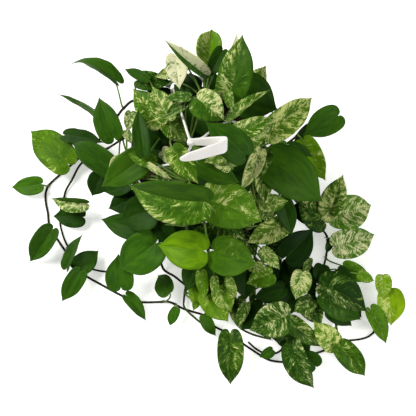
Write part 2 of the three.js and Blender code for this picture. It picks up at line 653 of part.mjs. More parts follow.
const lip = RIM_TOP - RIM_HEIGHT;
const pot = new THREE.Mesh(lathe([
  [0, 0], [BASE_RADIUS, 0], [RIM_RADIUS - RIM_FLARE, lip - RIM_CHAMFER], [RIM_RADIUS, lip],
  [RIM_RADIUS, RIM_TOP - RIM_CHAMFER], [RIM_RADIUS - RIM_CHAMFER, RIM_TOP], [RIM_INNER, RIM_TOP],
  [RIM_INNER, lip], [SHOULDER_RADIUS, SHOULDER_HEIGHT], [FLOOR_RADIUS, FLOOR], [0, FLOOR],
]), material(0x23251f, 0.5));
pot.name = 'pot';
group.add(pot);

// Soil with a hole for every rooted stem.
const slope = (SHOULDER_RADIUS - FLOOR_RADIUS) / (SHOULDER_HEIGHT - FLOOR);
const wallAt = (z) => FLOOR_RADIUS + slope * (z - FLOOR) - SOIL_GAP;
const soilLathe = lathe([
  [0, FLOOR + SOIL_GAP], [wallAt(FLOOR + SOIL_GAP), FLOOR + SOIL_GAP], [wallAt(SOIL_EDGE), SOIL_EDGE],
  [SOIL_CROWN, SOIL_TOP], [0, SOIL_TOP],
]);

function manifoldOf(geometry) {
  const bare = geometry.clone();
  bare.deleteAttribute('normal');
  bare.deleteAttribute('uv');
  const joined = mergeVertices(bare, 1e-4);
  const mesh = new wasm.Mesh({
    numProp: 3,
    vertProperties: new Float32Array(joined.attributes.position.array),
    triVerts: new Uint32Array(joined.index.array),
  });
  return new wasm.Manifold(mesh);
}

function soilBody(vines) {
  const body = manifoldOf(soilLathe);
  const holes = Object.entries(vines).map(([name, vine]) => {
    const radius = (rootRadius(name) + HOLE_GAP) / Math.cos(Math.PI / HOLE_SIDES);
    const [x, y] = vine.stems[0][0];
    const low = new THREE.Vector3(x, y, HOLE_FLOOR);
    const high = new THREE.Vector3(x, y, HOLE_MOUTH);
    return barSolid([low, high], [radius, radius], HOLE_SIDES);
  });
  return body.subtract(join(holes));
}

group.add(meshOf(soilBody(VINES), 'soil', material(0x241b14, 0.95)));

// Leafy stems.
const green = material(0x4c7a2e, 0.45);
Object.entries(VINES).forEach(([name, vine], k) => {
  group.add(meshOf(leafyStem(name, vine, 1 + k * LEAF_NUMBERS), name, green.clone()));
});

// Hanger.
const white = material(0xf2eee8, 0.4);
const hub = vec(HUB);

function strapSolid(path, widthDir) {
  const points = [];
  path.forEach(([x, y, z, width], k) => {
    const here = new THREE.Vector3(x, y, z);
    const next = path[Math.min(k + 1, path.length - 1)];
    const prev = path[Math.max(k - 1, 0)];
    const dir = vec(next).sub(vec(prev)).normalize();
    const thin = new THREE.Vector3().crossVectors(dir, widthDir).normalize();
    [[1, 1], [-1, 1], [-1, -1], [1, -1]].forEach(([a, b]) => {
      points.push(here.clone()
        .addScaledVector(widthDir, (a * width) / 2)
        .addScaledVector(thin, (b * STRAP_THICK) / 2));
    });
  });
  const triangles = ringTriangles(0, path.length, 4);
  const end = (path.length - 1) * 4;
  triangles.push(0, 2, 1, 0, 3, 2, end, end + 1, end + 2, end, end + 2, end + 3);
  return solid(points, triangles);
}

const HOOK_PATH = [
  [-9, -53, 350, 11], [0, -53, 351, 12], [17, -53, 352, 15], [30, -54, 354, 17], [40, -56, 358, 19],
  [47, -60, 365, 21], [48, -65, 370, 21], [44, -71, 375, 21], [35, -75, 379, 21], [23, -80, 382, 20],
  [5, -87, 385, 18], [-9, -91, 387, 15], [-17, -94, 388, 11], [-22, -95, 388, 7], [-24.5, -95.5, 388, 3],
];
const hookWidth = new THREE.Vector3(0, 0.68, 0.733).normalize();
const hubHigh = hub.clone().add(new THREE.Vector3(0, 1, HUB_RISE));
const hubLow = hub.clone().add(new THREE.Vector3(0, -1, HUB_RISE - HUB_HEIGHT));
const hook = join([
  strapSolid(HOOK_PATH, hookWidth),
  barSolid([hubHigh, hubLow], [HUB_RADIUS, HUB_RADIUS], HUB_SIDES),
]);
group.add(meshOf(hook, 'hanger_hook', white.clone()));

// Each strand ends in a clip that straddles the rim.
function clipSolid(angle) {
  const outer = RIM_RADIUS + CLIP_GAP + CLIP_WALL;
  const inner = RIM_INNER - CLIP_GAP - CLIP_WALL;
  const depth = outer - inner;
  const middle = (outer + inner) / 2;
  const top = RIM_TOP + CLIP_GAP + CLIP_WALL;
  const box = (x, y, z, high) => {
    const geometry = new THREE.BoxGeometry(x, y, z);
    geometry.translate(middle, 0, high - z / 2);
    geometry.rotateZ(THREE.MathUtils.degToRad(angle));
    return manifoldOf(geometry);
  };
  const block = box(depth, CLIP_WIDTH, CLIP_DROP + CLIP_WALL + CLIP_GAP, top);
  const slot = box(depth - 2 * CLIP_WALL, CLIP_WIDTH + 2, 2 * CLIP_DROP, RIM_TOP + CLIP_GAP);
  return block.subtract(slot);
}

function strandSolid(angle, middle) {
  const a = THREE.MathUtils.degToRad(angle);
  const r = (RIM_RADIUS + RIM_INNER) / 2;
  const foot = new THREE.Vector3(r * Math.cos(a), r * Math.sin(a), RIM_TOP + CLIP_GAP + 1);
  const points = [...middle.map(vec), foot.clone().add(new THREE.Vector3(0, 0, STRAND_RISE)), foot];
  const leave = points[0].clone().sub(hub).normalize();
  const top = hub.clone().add(new THREE.Vector3(0, 0, -2)).addScaledVector(leave, STRAND_START);
  const path = [top, ...points];
  return join([
    barSolid(path, path.map(() => STRAND_RADIUS), STRAND_SIDES),
    clipSolid(angle),
  ]);
}

const STRANDS = {
  hanger_strand_back: [CLIP_ANGLES[0], [[-18, -15, 313], [-32, 50, 250]]],
  hanger_strand_right: [CLIP_ANGLES[1], [
    [10, -38, 330], [26, -20, 316], [48, 1, 298], [61, 10, 284], [78, 10, 262], [112, -8, 215],
  ]],
  hanger_strand_front: [CLIP_ANGLES[2], [
    [-12, -56, 322], [-34, -62, 272], [-50, -56, 246], [-66, -52, 224], [-90, -54, 204],
  ]],
};
Object.entries(STRANDS).forEach(([name, [angle, middle]]) => {
  group.add(meshOf(strandSolid(angle, middle), name, white.clone()));
});

export default group;
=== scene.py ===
import math

import bpy
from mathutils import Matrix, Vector, noise


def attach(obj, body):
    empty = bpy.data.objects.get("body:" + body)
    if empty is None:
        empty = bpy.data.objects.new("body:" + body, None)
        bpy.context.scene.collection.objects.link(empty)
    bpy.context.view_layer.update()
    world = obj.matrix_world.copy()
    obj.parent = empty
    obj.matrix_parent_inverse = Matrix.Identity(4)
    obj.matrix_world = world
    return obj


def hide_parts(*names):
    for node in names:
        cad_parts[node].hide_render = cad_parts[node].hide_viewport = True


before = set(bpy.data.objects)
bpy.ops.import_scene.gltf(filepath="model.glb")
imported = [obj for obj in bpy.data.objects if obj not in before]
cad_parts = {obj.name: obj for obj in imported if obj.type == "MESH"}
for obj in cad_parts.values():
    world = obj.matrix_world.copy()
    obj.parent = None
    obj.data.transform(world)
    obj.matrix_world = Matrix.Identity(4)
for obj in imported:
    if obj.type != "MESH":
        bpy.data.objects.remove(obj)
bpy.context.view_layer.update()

# Pot: a 10 inch hanging-basket pot, injection moulded in dark green-black plastic in one shot.
# The wall tapers to a flat base, and a deep rolled rim stiffens its mouth and takes the
# hanger's clips. Its plastic is matt, finely grained and dusty with dried soil in patches.
MM = 0.001
RIM_RADIUS = 127
RIM_INNER = 121
RIM_TOP = 180
RIM_HEIGHT = 12
SHOULDER_RADIUS = 118
SHOULDER_HEIGHT = 164
BASE_RADIUS = 91
BASE_HOLLOW = 1.6
FLOOR_RADIUS = 87.5
FLOOR = 5
POT_SIDES = 128


def add_node(tree, kind, inputs=None, **settings):
    node = tree.nodes.new(kind)
    for key, value in settings.items():
        setattr(node, key, value)
    for key, value in (inputs or {}).items():
        if isinstance(value, bpy.types.NodeSocket):
            tree.links.new(value, node.inputs[key])
        else:
            node.inputs[key].default_value = value
    return node


def calc(tree, operation, *values):
    return add_node(tree, "ShaderNodeMath", dict(enumerate(values)), operation=operation).outputs[0]


def fade(tree, value, low, high):
    inputs = {"Value": value, "From Min": low, "From Max": high}
    return add_node(tree, "ShaderNodeMapRange", inputs, interpolation_type="SMOOTHSTEP").outputs[0]


def noise_at(tree, place, scale, detail):
    inputs = {"Vector": place, "Scale": scale, "Detail": detail}
    return add_node(tree, "ShaderNodeTexNoise", inputs).outputs[0]


def blend_colour(tree, factor, first, second):
    inputs = {0: factor, 6: first, 7: second}
    return add_node(tree, "ShaderNodeMix", inputs, data_type="RGBA").outputs[2]


def open_group(name, inputs, outputs):
    tree = bpy.data.node_groups.new(name, "ShaderNodeTree")
    for label, kind, value in inputs:
        socket = tree.interface.new_socket(name=label, in_out="INPUT", socket_type=kind)
        if value is not None:
            socket.default_value = value
    for label, kind in outputs:
        tree.interface.new_socket(name=label, in_out="OUTPUT", socket_type=kind)
    return tree, tree.nodes.new("NodeGroupInput").outputs, tree.nodes.new("NodeGroupOutput").inputs


def new_material(name, **fixed):
    material = bpy.data.materials.new(name)
    material.use_nodes = True
    tree = material.node_tree
    shader = tree.nodes["Principled BSDF"]
    for socket, value in fixed.items():
        shader.inputs[socket.replace("_", " ")].default_value = value
    return material, tree, shader


def add_bump(tree, shader, strength, distance, height, invert=False):
    inputs = {"Strength": strength, "Distance": distance, "Height": height}
    bump = add_node(tree, "ShaderNodeBump", inputs, invert=invert)
    tree.links.new(bump.outputs[0], shader.inputs["Normal"])


def moulded_plastic_group():
    # A fine moulded grain, pale dust that settles in patches, and a roughness that drifts with them.
    tree, given, made = open_group(
        "moulded_plastic",
        [
            ("Plastic", "NodeSocketColor", (0.5, 0.5, 0.5, 1)),
            ("Dust", "NodeSocketColor", (0.3, 0.25, 0.2, 1)),
            ("Dust Amount", "NodeSocketFloat", 0.2),
            ("Base Roughness", "NodeSocketFloat", 0.4),
        ],
        [("Color", "NodeSocketColor"), ("Roughness", "NodeSocketFloat"), ("Height", "NodeSocketFloat")],
    )
    place = tree.nodes.new("ShaderNodeTexCoord").outputs["Object"]
    patch = noise_at(tree, place, 42, 5)
    dusty = calc(tree, "MULTIPLY", fade(tree, patch, 0.45, 0.75), given["Dust Amount"])
    tree.links.new(blend_colour(tree, dusty, given["Plastic"], given["Dust"]), made["Color"])
    rough = calc(tree, "MULTIPLY_ADD", patch, 0.25, given["Base Roughness"])
    tree.links.new(rough, made["Roughness"])
    tree.links.new(noise_at(tree, place, 1400, 2), made["Height"])
    return tree


PLASTIC = moulded_plastic_group()


def plastic_material(name, plastic, dust, amount, rough, depth):
    material, tree, shader = new_material(name, Specular_IOR_Level=0.45)
    inputs = {"Plastic": plastic, "Dust": dust, "Dust Amount": amount, "Base Roughness": rough}
    group = add_node(tree, "ShaderNodeGroup", inputs, node_tree=PLASTIC)
    tree.links.new(group.outputs["Color"], shader.inputs["Base Color"])
    tree.links.new(group.outputs["Roughness"], shader.inputs["Roughness"])
    add_bump(tree, shader, 0.35, depth, group.outputs["Height"])
    return material


def build_mesh(name, vertices, faces, materials, slots=None, flat=()):
    mesh = bpy.data.meshes.new(name)
    mesh.from_pydata([tuple(v) for v in vertices], [], faces)
    for material in materials:
        mesh.materials.append(material)
    smooth = [True] * len(faces)
    for k in flat:
        smooth[k] = False
    mesh.polygons.foreach_set("use_smooth", smooth)
    if slots:
        mesh.polygons.foreach_set("material_index", slots)
    piece = bpy.data.objects.new(name, mesh)
    bpy.context.scene.collection.objects.link(piece)
    return piece


def ring_faces(low, high):
    # Four-sided faces between two rings that have the same number of points.
    count = len(low)
    return [[low[j], low[(j + 1) % count], high[(j + 1) % count], high[j]] for j in range(count)]


def turned(profile, sides):
    # A closed form of revolution round Z from a closed list of radius and height, in millimetres.
    vertices, rings, faces = [], [], []
    for radius, height in profile:
        if radius == 0:
            rings.append([len(vertices)] * sides)
            vertices.append(Vector((0, 0, height)) * MM)
            continue
        rings.append(range(len(vertices), len(vertices) + sides))
        for k in range(sides):
            a = 2 * math.pi * k / sides
            vertices.append(Vector((radius * math.cos(a), radius * math.sin(a), height)) * MM)
    for low, high in zip(rings, rings[1:]):
        for corners in ring_faces(low, high):
            faces.append([c for j, c in enumerate(corners) if c not in corners[:j]])
    return vertices, faces


def mark_edges(piece, degrees):
    piece.data.set_sharp_from_angle(angle=math.radians(degrees))


lip = RIM_TOP - RIM_HEIGHT
pot_profile = [
    (0, BASE_HOLLOW), (BASE_RADIUS - 12, BASE_HOLLOW), (BASE_RADIUS - 10, 0), (BASE_RADIUS - 1.2, 0),
    (BASE_RADIUS, 1), (BASE_RADIUS + 0.4, 5), (BASE_RADIUS + 1.6, 11),
    (RIM_RADIUS - 9, 122), (RIM_RADIUS - 8.2, 124), (RIM_RADIUS - 5.8, lip - 2),
    (RIM_RADIUS - 5, lip - 1.2), (RIM_RADIUS - 1, lip - 0.4), (RIM_RADIUS - 0.2, lip + 0.6),
    (RIM_RADIUS, lip + 2), (RIM_RADIUS - 0.2, RIM_TOP - 2.2), (RIM_RADIUS - 0.8, RIM_TOP - 0.8),
    (RIM_RADIUS - 2, RIM_TOP), (RIM_INNER + 1, RIM_TOP), (RIM_INNER + 0.1, RIM_TOP - 0.7),
    (RIM_INNER, RIM_TOP - 2), (RIM_INNER, lip + 3), (SHOULDER_RADIUS, SHOULDER_HEIGHT),
    (FLOOR_RADIUS, FLOOR), (0, FLOOR),
]
dark_plastic = plastic_material(
    "dark_pot_plastic", (0.014, 0.017, 0.013, 1), (0.11, 0.085, 0.06, 1), 0.35, 0.34, 0.0002
)
pot = build_mesh("pot_shell", *turned(pot_profile, POT_SIDES), [dark_plastic])
mark_edges(pot, 32)
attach(pot, "root")
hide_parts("pot")

# Potting soil: a dark peat mix with bark crumbs and white perlite, filled to about 20 mm under the
# rim. It is loose, so its top is a rough crumbly surface, a little higher in the middle.
SOIL_TOP = 158
SOIL_CROWN = 3.5
SOIL_LUMPS = 1.6
SOIL_RADIUS = 115.5
SOIL_FOOT = 85
SOIL_FLOOR = 6
SOIL_SPOKES = 96
SOIL_RINGS = 30
CRUMBS = 900
CRUMB_FACES = 8
PERLITE_EVERY = 11
GOLDEN_ANGLE = 2.39996


def soil_height(x, y):
    r = math.hypot(x, y) / SOIL_RADIUS
    lumps = noise.fractal(Vector((x, y, 4)) * 0.09, 0.7, 2.1, 4)
    return SOIL_TOP - SOIL_CROWN * r * r + SOIL_LUMPS * lumps


def crumb(vertices, faces, centre, size, seed):
    # A small lump: an octahedron pulled out of shape.
    start = len(vertices)
    for k, axis in enumerate(((1, 0, 0), (0, 1, 0), (-1, 0, 0), (0, -1, 0), (0, 0, 1), (0, 0, -1))):
        pull = 0.65 + 0.7 * abs(noise.noise(Vector((seed * 3.1, k * 1.7, 0.5))))
        vertices.append((centre + Vector(axis) * size * pull) * MM)
    for k in range(4):
        n = (k + 1) % 4
        faces.append([start + k, start + n, start + 4])
        faces.append([start + n, start + k, start + 5])


def soil_mesh():
    vertices, faces = [], []
    turns = [2 * math.pi * j / SOIL_SPOKES for j in range(SOIL_SPOKES)]
    for k in range(1, SOIL_RINGS + 1):
        radius = SOIL_RADIUS * (k / SOIL_RINGS) ** 0.8
        for a in turns:
            x, y = radius * math.cos(a), radius * math.sin(a)
            vertices.append(Vector((x, y, soil_height(x, y))) * MM)
    middle = len(vertices)
    vertices.append(Vector((0, 0, soil_height(0, 0))) * MM)
    foot = len(vertices)
    for a in turns:
        x, y = SOIL_FOOT * math.cos(a), SOIL_FOOT * math.sin(a)
        vertices.append(Vector((x, y, SOIL_FLOOR)) * MM)
    for j in range(SOIL_SPOKES):
        n = (j + 1) % SOIL_SPOKES
        faces.append([middle, j, n])
        for k in range(SOIL_RINGS - 1):
            low, high = k * SOIL_SPOKES, (k + 1) * SOIL_SPOKES
            faces.append([low + j, high + j, high + n, low + n])
        last = (SOIL_RINGS - 1) * SOIL_SPOKES
        faces.append([last + j, foot + j, foot + n, last + n])
    faces.append([foot + j for j in reversed(range(SOIL_SPOKES))])
    slots = [0] * len(faces)
    for k in range(CRUMBS):
        a = k * GOLDEN_ANGLE
        r = SOIL_RADIUS * math.sqrt((k + 0.5) / CRUMBS) * 0.985
        x, y = r * math.cos(a), r * math.sin(a)
        size = 0.9 + 1.9 * abs(noise.noise(Vector((k * 0.73, 2.2, 0))))
        crumb(vertices, faces, Vector((x, y, soil_height(x, y) + 0.25 * size)), size, k)
        slots += [0 if k % PERLITE_EVERY else 1] * CRUMB_FACES
    return vertices, faces, slots


def colour_ramp(tree, factor, stops):
    ramp = add_node(tree, "ShaderNodeValToRGB", {"Fac": factor})
    elements = ramp.color_ramp.elements
    elements[0].position = stops[0][0]
    elements[1].position = stops[-1][0]
    for position, colour in stops[1:-1]:
        elements.new(position)
    for element, (position, colour) in zip(elements, stops):
        element.color = colour
    return ramp.outputs[0]


def soil_material():
    material, tree, shader = new_material("peat_soil", Roughness=0.95, Specular_IOR_Level=0.2)
    place = tree.nodes.new("ShaderNodeTexCoord").outputs["Object"]
    grain = noise_at(tree, place, 520, 6)
    clods = add_node(tree, "ShaderNodeTexVoronoi", {"Vector": place, "Scale": 260})
    browns = [(0.35, (0.012, 0.008, 0.005, 1)), (0.72, (0.075, 0.047, 0.028, 1))]
    tree.links.new(colour_ramp(tree, grain, browns), shader.inputs["Base Color"])
    add_bump(tree, shader, 0.9, 0.0015, calc(tree, "ADD", grain, clods.outputs["Distance"]))
    return material


def perlite_material():
    material, tree, shader = new_material("perlite_grain", Roughness=0.9)
    place = tree.nodes.new("ShaderNodeTexCoord").outputs["Object"]
    pits = noise_at(tree, place, 900, 4)
    shade = blend_colour(tree, pits, (0.38, 0.35, 0.3, 1), (0.8, 0.78, 0.73, 1))
    tree.links.new(shade, shader.inputs["Base Color"])
    add_bump(tree, shader, 0.6, 0.0006, pits)
    return material


soil_vertices, soil_faces, soil_slots = soil_mesh()
soil = build_mesh(
    "soil_mix", soil_vertices, soil_faces, [soil_material(), perlite_material()], soil_slots,
    flat=range(len(soil_faces) - CRUMBS * CRUMB_FACES, len(soil_faces)),
)
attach(soil, "root")
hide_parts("soil")

# Leafy stems: marble queen pothos vines. Each stem, its leaf stalks and its heart-shaped leaves
# grow as one. Long stems leave the pot and trail on the table, short ones stand in the crown.
# Each leaf has its own green, and cream marbling that runs out from the midrib with the veins.
# The darkest greens are partly painted shade: dark leaves low in the foliage stand in for its shaded
# depths.
UPPER, UNDER, STALK, STEM = range(4)
SKYWARD = Vector((0, -0.2588, 0.9659))
SEAM = Vector((0.31, 0.77, 0.56))
STEM_RADIUS = 2.7
CROWN_RADIUS = 3.2
STEM_TIP_RADIUS = 2.0
STEM_SIDES = 10
STEM_STEPS = 5
JOINT_SWELL = 0.22
JOINT_LENGTH = 4
NEAR_TABLE = 60
FRESH_TONE = 0.8
WOODY_TONE = 0.12
FRESH_STEMS = ("vine_young", "vine_front")
ROOT_END = 133
NUBS_BELOW = 40
NUB_RADII = [1.3, 0.9, 0.4]
NUB_SIDES = 6
STALK_RADIUS = 2.0
STALK_SIDES = 8
STALK_STEPS = 16
STALK_TAPER = 0.35
# How a stalk leaves its stem and comes to its leaf, as shares of the distance between them.
START_BACK = 0.35
STALK_LEAVE = 0.5
STALK_BEHIND = 0.28
STALK_UNDER = 0.2
BLADE = 0.7
# How uneven a blade is: a share of its half width, and three of its length. The turns are the
# radians that the waves and the frills run through from the leaf's root to its tip.
UNEVEN = 0.07
WAVE = 0.012
FRILL = 0.006
SWAY = 0.035
WAVE_TURN = 9
FRILL_TURN = 23
RIDGE = 0.7
RIDGE_WIDTH = 0.03
THIN_EDGE = 0.35
HALF_OUTLINE = [
    (0, 0), (-0.07, 0.06), (-0.11, 0.2), (-0.122, 0.4), (-0.1, 0.63), (-0.02, 0.85), (0.12, 0.97),
    (0.28, 1.0), (0.45, 0.945), (0.61, 0.78), (0.75, 0.52), (0.86, 0.25), (0.94, 0.08), (1, 0),
]
VEIN_ROOTS = [0, 0.001, 0.003, 0.006, 0.012, 0.03, 0.075, 0.14, 0.25, 0.4, 0.56, 0.72, 0.87, 1]
LEAF_NUMBERS = 50
LEAF_ROWS = 30
LEAF_COLUMNS = [0, 0.035, 0.12, 0.25, 0.4, 0.56, 0.72, 0.87, 1]


def leaf(base, tip, width, fold, tone, cream=(0, 0), warmth=0.5, arch=0.05, roll=0, face=None):
    # Base, tip and width are in millimetres, fold and roll in degrees. Tone runs from blackish
    # green to lime, and its blackish end is painted shade for leaves deep in the foliage. Cream is its
    # share on the left and right halves, and warmth turns the cream from white to yellow-green.
    # Face is set for leaves that hang down behind the pot.
    return dict(
        base=Vector(base), tip=Vector(tip), width=width, roll=math.radians(roll),
        fold=math.radians(fold), arch=arch, tone=tone, cream=cream, warmth=warmth,
        face=Vector(face).normalized() if face else SKYWARD,
    )


VINES = {}

# The longest vine goes over the rim at the back left and round the whole front on the table.
VINES["vine_outer"] = dict(stems=[[
    (-65, 58, 162), (-72, 61, 178), (-92, 69, 189), (-121, 93, 187), (-148, 97, 142),
    (-163, 95, 112), (-186, 82, 80), (-209, 67, 50), (-238, 53, 22), (-261, 37, 9),
    (-295, 7, 3), (-320, -18, 3), (-327, -36, 3), (-326, -58, 3), (-320, -82, 3),
    (-314, -112, 3), (-291, -147, 3), (-272, -172, 3), (-241, -210, 3), (-203, -233, 3),
    (-151, -260, 3), (-120, -270, 3), (-83, -270, 3), (-59, -270, 3), (-30, -284, 3),
    (13, -298, 3), (31, -318, 3), (53, -330, 3), (93, -356, 3), (127, -378, 3),
    (147, -387, 3), (177, -389, 3), (201, -384, 3), (223, -376, 3), (254, -366, 3),
    (287, -350, 3), (329, -344, 3), (350, -334, 3), (372, -310, 3), (386, -286, 5),
]], leaves=[
    leaf((-167, 156, 147), (-269, 207, 111), 46, 20, 0.42, arch=0.16, roll=-50),
    leaf((-205, 98, 120), (-295, 151, 90), 42, 20, 0.5, (0.05, 0), arch=-0.07, roll=74),
    leaf((-278, 18, 36), (-366, 99, 16), 76, 10, 0.6, (0.15, 0.15), 1, arch=0.08),
    leaf((-336, -24, 22), (-400, -27, 10), 40, 8, 0.55),
    leaf((-300, -127, 38), (-350, -188, 7), 55, 35, 0.4, arch=0.08),
    leaf((-240, -213, 34), (-279, -270, 7), 40, 15, 0.42, arch=0.08, roll=15),
    leaf((-144, -261, 28), (-106, -309, 9), 32, 15, 0.45, arch=0.1, roll=40),
    leaf((-59, -254, 40), (-83, -216, 14), 44, 15, 0.42, roll=10),
    leaf((-45, -287, 25), (-58, -319, 7), 22, 10, 0.5, arch=0.1),
    leaf((11, -302, 30), (35, -339, 9), 28, 15, 0.45),
    leaf((62, -340, 45), (63, -434, 7), 52, 15, 0.28, (0.2, 0.15), 0.8, arch=0.12),
    leaf((184, -360, 45), (229, -440, 7), 56, 25, 0.28, (0.35, 0.12), arch=0.1, roll=-25),
    leaf((230, -398, 20), (200, -367, 26), 44, 10, 0.35),
    leaf((277, -360, 46), (328, -417, 15), 45, 15, 0.38, (0.25, 0.22), 0.8, arch=0.1),
    leaf((341, -291, 46), (374, -355, 15), 39, 15, 0.6, (0.1, 0.25), 0.8, arch=0.08, roll=15),
    leaf((378, -256, 45), (386, -319, 16), 55, 12, 0.9, (0.1, 0.6), 0.95, arch=0.08),
    leaf((365, -226, 56), (366, -270, 46), 36, 15, 0.86, (0.4, 0.4), 0.9),
    leaf((146, -367, 20), (121, -380, 9), 22, 15, 0.4),
    leaf((-280, 75, 52), (-200, 59, 48), 54, 5, 0.28, roll=50),
    leaf((-249, -204, 28), (-206, -166, 20), 45, 15, 0.35),
    leaf((267, -360, 40), (225, -312, 45), 45, 12, 0.5, (0.55, 0.55), 0.85),
])

# A shorter vine lies inside it on the left.
VINES["vine_left"] = dict(stems=[[
    (-74, 6, 162), (-82, 6, 178), (-98, 7, 188), (-127, 22, 187), (-146, 35, 140),
    (-182, 38, 80), (-219, 34, 42), (-252, 22, 20), (-272, -11, 9), (-284, -32, 5),
    (-288, -49, 3), (-293, -75, 3), (-293, -102, 3), (-288, -123, 3), (-278, -147, 3),
    (-265, -166, 3),
]], leaves=[
    leaf((-166, 36, 141), (-196, 115, 156), 56, 15, 0.42, roll=10),
    leaf((-165, -23, 110), (-260, 48, 76), 59, 28, 0.36, arch=0.1),
    leaf((-145, -10, 138), (-176, -27, 132), 35, 30, 0.5, (0.8, 0.85), 0.45, arch=0),
    leaf((-201, -18, 60), (-221, -57, 45), 49, 10, 0.22),
    leaf((-138, -54, 120), (-188, -63, 95), 35, 10, 0.28),
    leaf((-233, -71, 42), (-309, -57, 30), 45, 45, 0.45, (0.55, 0.1), roll=20),
    leaf((-244, -95, 18), (-307, -91, 12), 46, 8, 0.26),
    leaf((-267, -202, 30), (-236, -136, 42), 41, 20, 0.36, roll=45),
])

# This vine forks just above the table: one branch runs to the left and one to the front.
VINES["vine_front_left"] = dict(stems=[[
    (-48, -60, 162), (-52, -74, 178), (-59, -93, 188), (-68, -110, 188), (-77, -130, 145),
    (-78, -148, 80), (-81, -172, 25), (-101, -190, 6), (-126, -204, 3), (-159, -212, 3),
    (-184, -208, 3), (-204, -206, 3), (-221, -202, 3),
], [
    (-80, -166, 40), (-74, -201, 8), (-49, -218, 3), (-18, -243, 3), (3, -258, 3),
]], leaves=[
    leaf((-82, -171, 114), (-155, -213, 64), 86, 15, 0.5, arch=0.1),
    leaf((-93, -148, 112), (-194, -115, 82), 55, 20, 0.32, arch=0.08),
    leaf((-88, -115, 144), (-149, -127, 116), 69, 15, 0.28),
    leaf((-114, -85, 112), (-146, -101, 100), 27, 10, 0.3),
    leaf((-155, -245, 42), (-160, -180, 60), 55, 12, 0.42),
    leaf((-70, -120, 112), (-101, -162, 102), 47, 10, 0.12),
    leaf((-128, -77, 96), (-179, -96, 90), 48, 10, 0.25),
])

# A vine with small young leaves comes down the front.
VINES["vine_young"] = dict(stems=[[
    (-23, -75, 162), (-22, -92, 178), (-21, -109, 189), (-21, -130, 188), (-21, -156, 120),
    (-21, -196, 50), (-26, -237, 17), (-30, -267, 13), (-28, -283, 11), (-5, -305, 10),
    (19, -322, 10),
]], leaves=[
    leaf((-5, -270, 40), (-17, -230, 50), 24, 15, 0.8, (0.2, 0.2), 0.9),
    leaf((-1, -264, 22), (-11, -289, 14), 18, 15, 0.75, (0.3, 0.3), 0.9),
    leaf((17, -259, 51), (60, -312, 23), 54, 12, 0.75, (0.35, 0.3), 0.95, arch=0.08),
    leaf((5, -223, 90), (13, -271, 60), 27, 20, 0.7, (0.3, 0.3), 0.9),
    leaf((-5, -199, 70), (-24, -257, 60), 43, 12, 0.3),
    leaf((-24, -131, 108), (-39, -168, 96), 47, 10, 0.12),
    leaf((-73, -141, 130), (-35, -179, 118), 40, 12, 0.14),
])

# The next vine bears the two broad light leaves at the front.
VINES["vine_front"] = dict(stems=[[
    (13, -75, 162), (13, -92, 178), (13, -109, 190), (12, -130, 190), (13, -148, 145),
    (19, -175, 70), (31, -207, 20), (48, -246, 5), (60, -276, 3), (68, -300, 3),
    (84, -322, 3), (106, -334, 3), (126, -340, 3), (146, -344, 3),
]], leaves=[
    leaf((10, -195, 162), (-75, -180, 138), 71, 10, 0.78, (0, 0), 0.9, arch=0.08),
    leaf((32, -193, 152), (110, -212, 122), 74, 10, 0.6, (0.12, 0), 0.7, arch=0.08),
    leaf((31, -235, 97), (35, -269, 74), 19, 20, 0.6, (0.45, 0.4), 0.8),
    leaf((58, -237, 96), (75, -270, 71), 23, 20, 0.6, (0.4, 0.4), 0.8),
    leaf((40, -253, 72), (64, -295, 50), 43, 15, 0.6, (0.4, 0.5), 0.9, arch=0.08),
    leaf((27, -208, 74), (11, -269, 60), 51, 10, 0.32),
    leaf((54, -208, 54), (67, -267, 44), 55, 10, 0.28),
    leaf((3, -134, 96), (-52, -159, 88), 51, 10, 0.15),
    leaf((31, -126, 120), (92, -164, 112), 58, 10, 0.2, (0.2, 0.3), 0.6),
    leaf((6, -146, 138), (36, -188, 124), 40, 12, 0.16, (0.1, 0.1), 0.6),
])

# A leafy vine goes to the front right and curls back at its end.
VINES["vine_front_right"] = dict(stems=[[
    (65, -71, 162), (66, -84, 178), (69, -97, 188), (74, -111, 188), (90, -139, 130),
    (111, -183, 60), (127, -227, 15), (135, -266, 5), (141, -306, 4), (148, -338, 4),
    (168, -358, 4), (160, -370, 3), (138, -374, 3), (116, -364, 3), (100, -350, 3),
]], leaves=[
    leaf((163, -138, 136), (93, -169, 108), 50, 20, 0.45, (0.55, 0.5), 0.8),
    leaf((123, -186, 120), (157, -219, 98), 27, 15, 0.5, (0.5, 0.5), 0.7),
    leaf((124, -211, 90), (92, -215, 79), 23, 15, 0.5, (0.5, 0.5), 0.8),
    leaf((142, -225, 80), (94, -242, 62), 41, 12, 0.6, (0.15, 0.4), 0.8),
    leaf((167, -250, 59), (107, -267, 44), 40, 12, 0.2),
    leaf((107, -239, 48), (107, -293, 23), 16, 20, 0.3, (0.3, 0.3), 0.7),
    leaf((173, -304, 76), (99, -331, 51), 73, 12, 0.25, (0.35, 0.4)),
    leaf((94, -281, 48), (79, -324, 25), 24, 15, 0.3, (0.4, 0.3), 0.6),
    leaf((225, -272, 46), (188, -294, 36), 36, 12, 0.28, (0.3, 0.3), 0.6),
    leaf((180, -314, 48), (245, -361, 20), 39, 12, 0.35, (0.5, 0.35), 0.75),
    leaf((94, -214, 62), (94, -272, 52), 55, 10, 0.15),
    leaf((78, -268, 26), (85, -329, 20), 40, 15, 0.3, (0.4, 0.4), 0.7),
    leaf((144, -127, 105), (101, -173, 98), 51, 10, 0.15),
    leaf((171, -158, 85), (125, -205, 80), 51, 12, 0.2, (0.3, 0.3), 0.6),
    leaf((167, -196, 50), (142, -271, 42), 56, 10, 0.1),
    leaf((188, -246, 34), (154, -309, 28), 52, 10, 0.12),
    leaf((127, -282, 34), (85, -328, 24), 48, 10, 0.15),
    leaf((165, -329, 40), (185, -367, 26), 39, 10, 0.2, (0.2, 0.2)),
    leaf((88, -133, 98), (113, -194, 84), 44, 12, 0.24, (0.35, 0.35), 0.6),
])

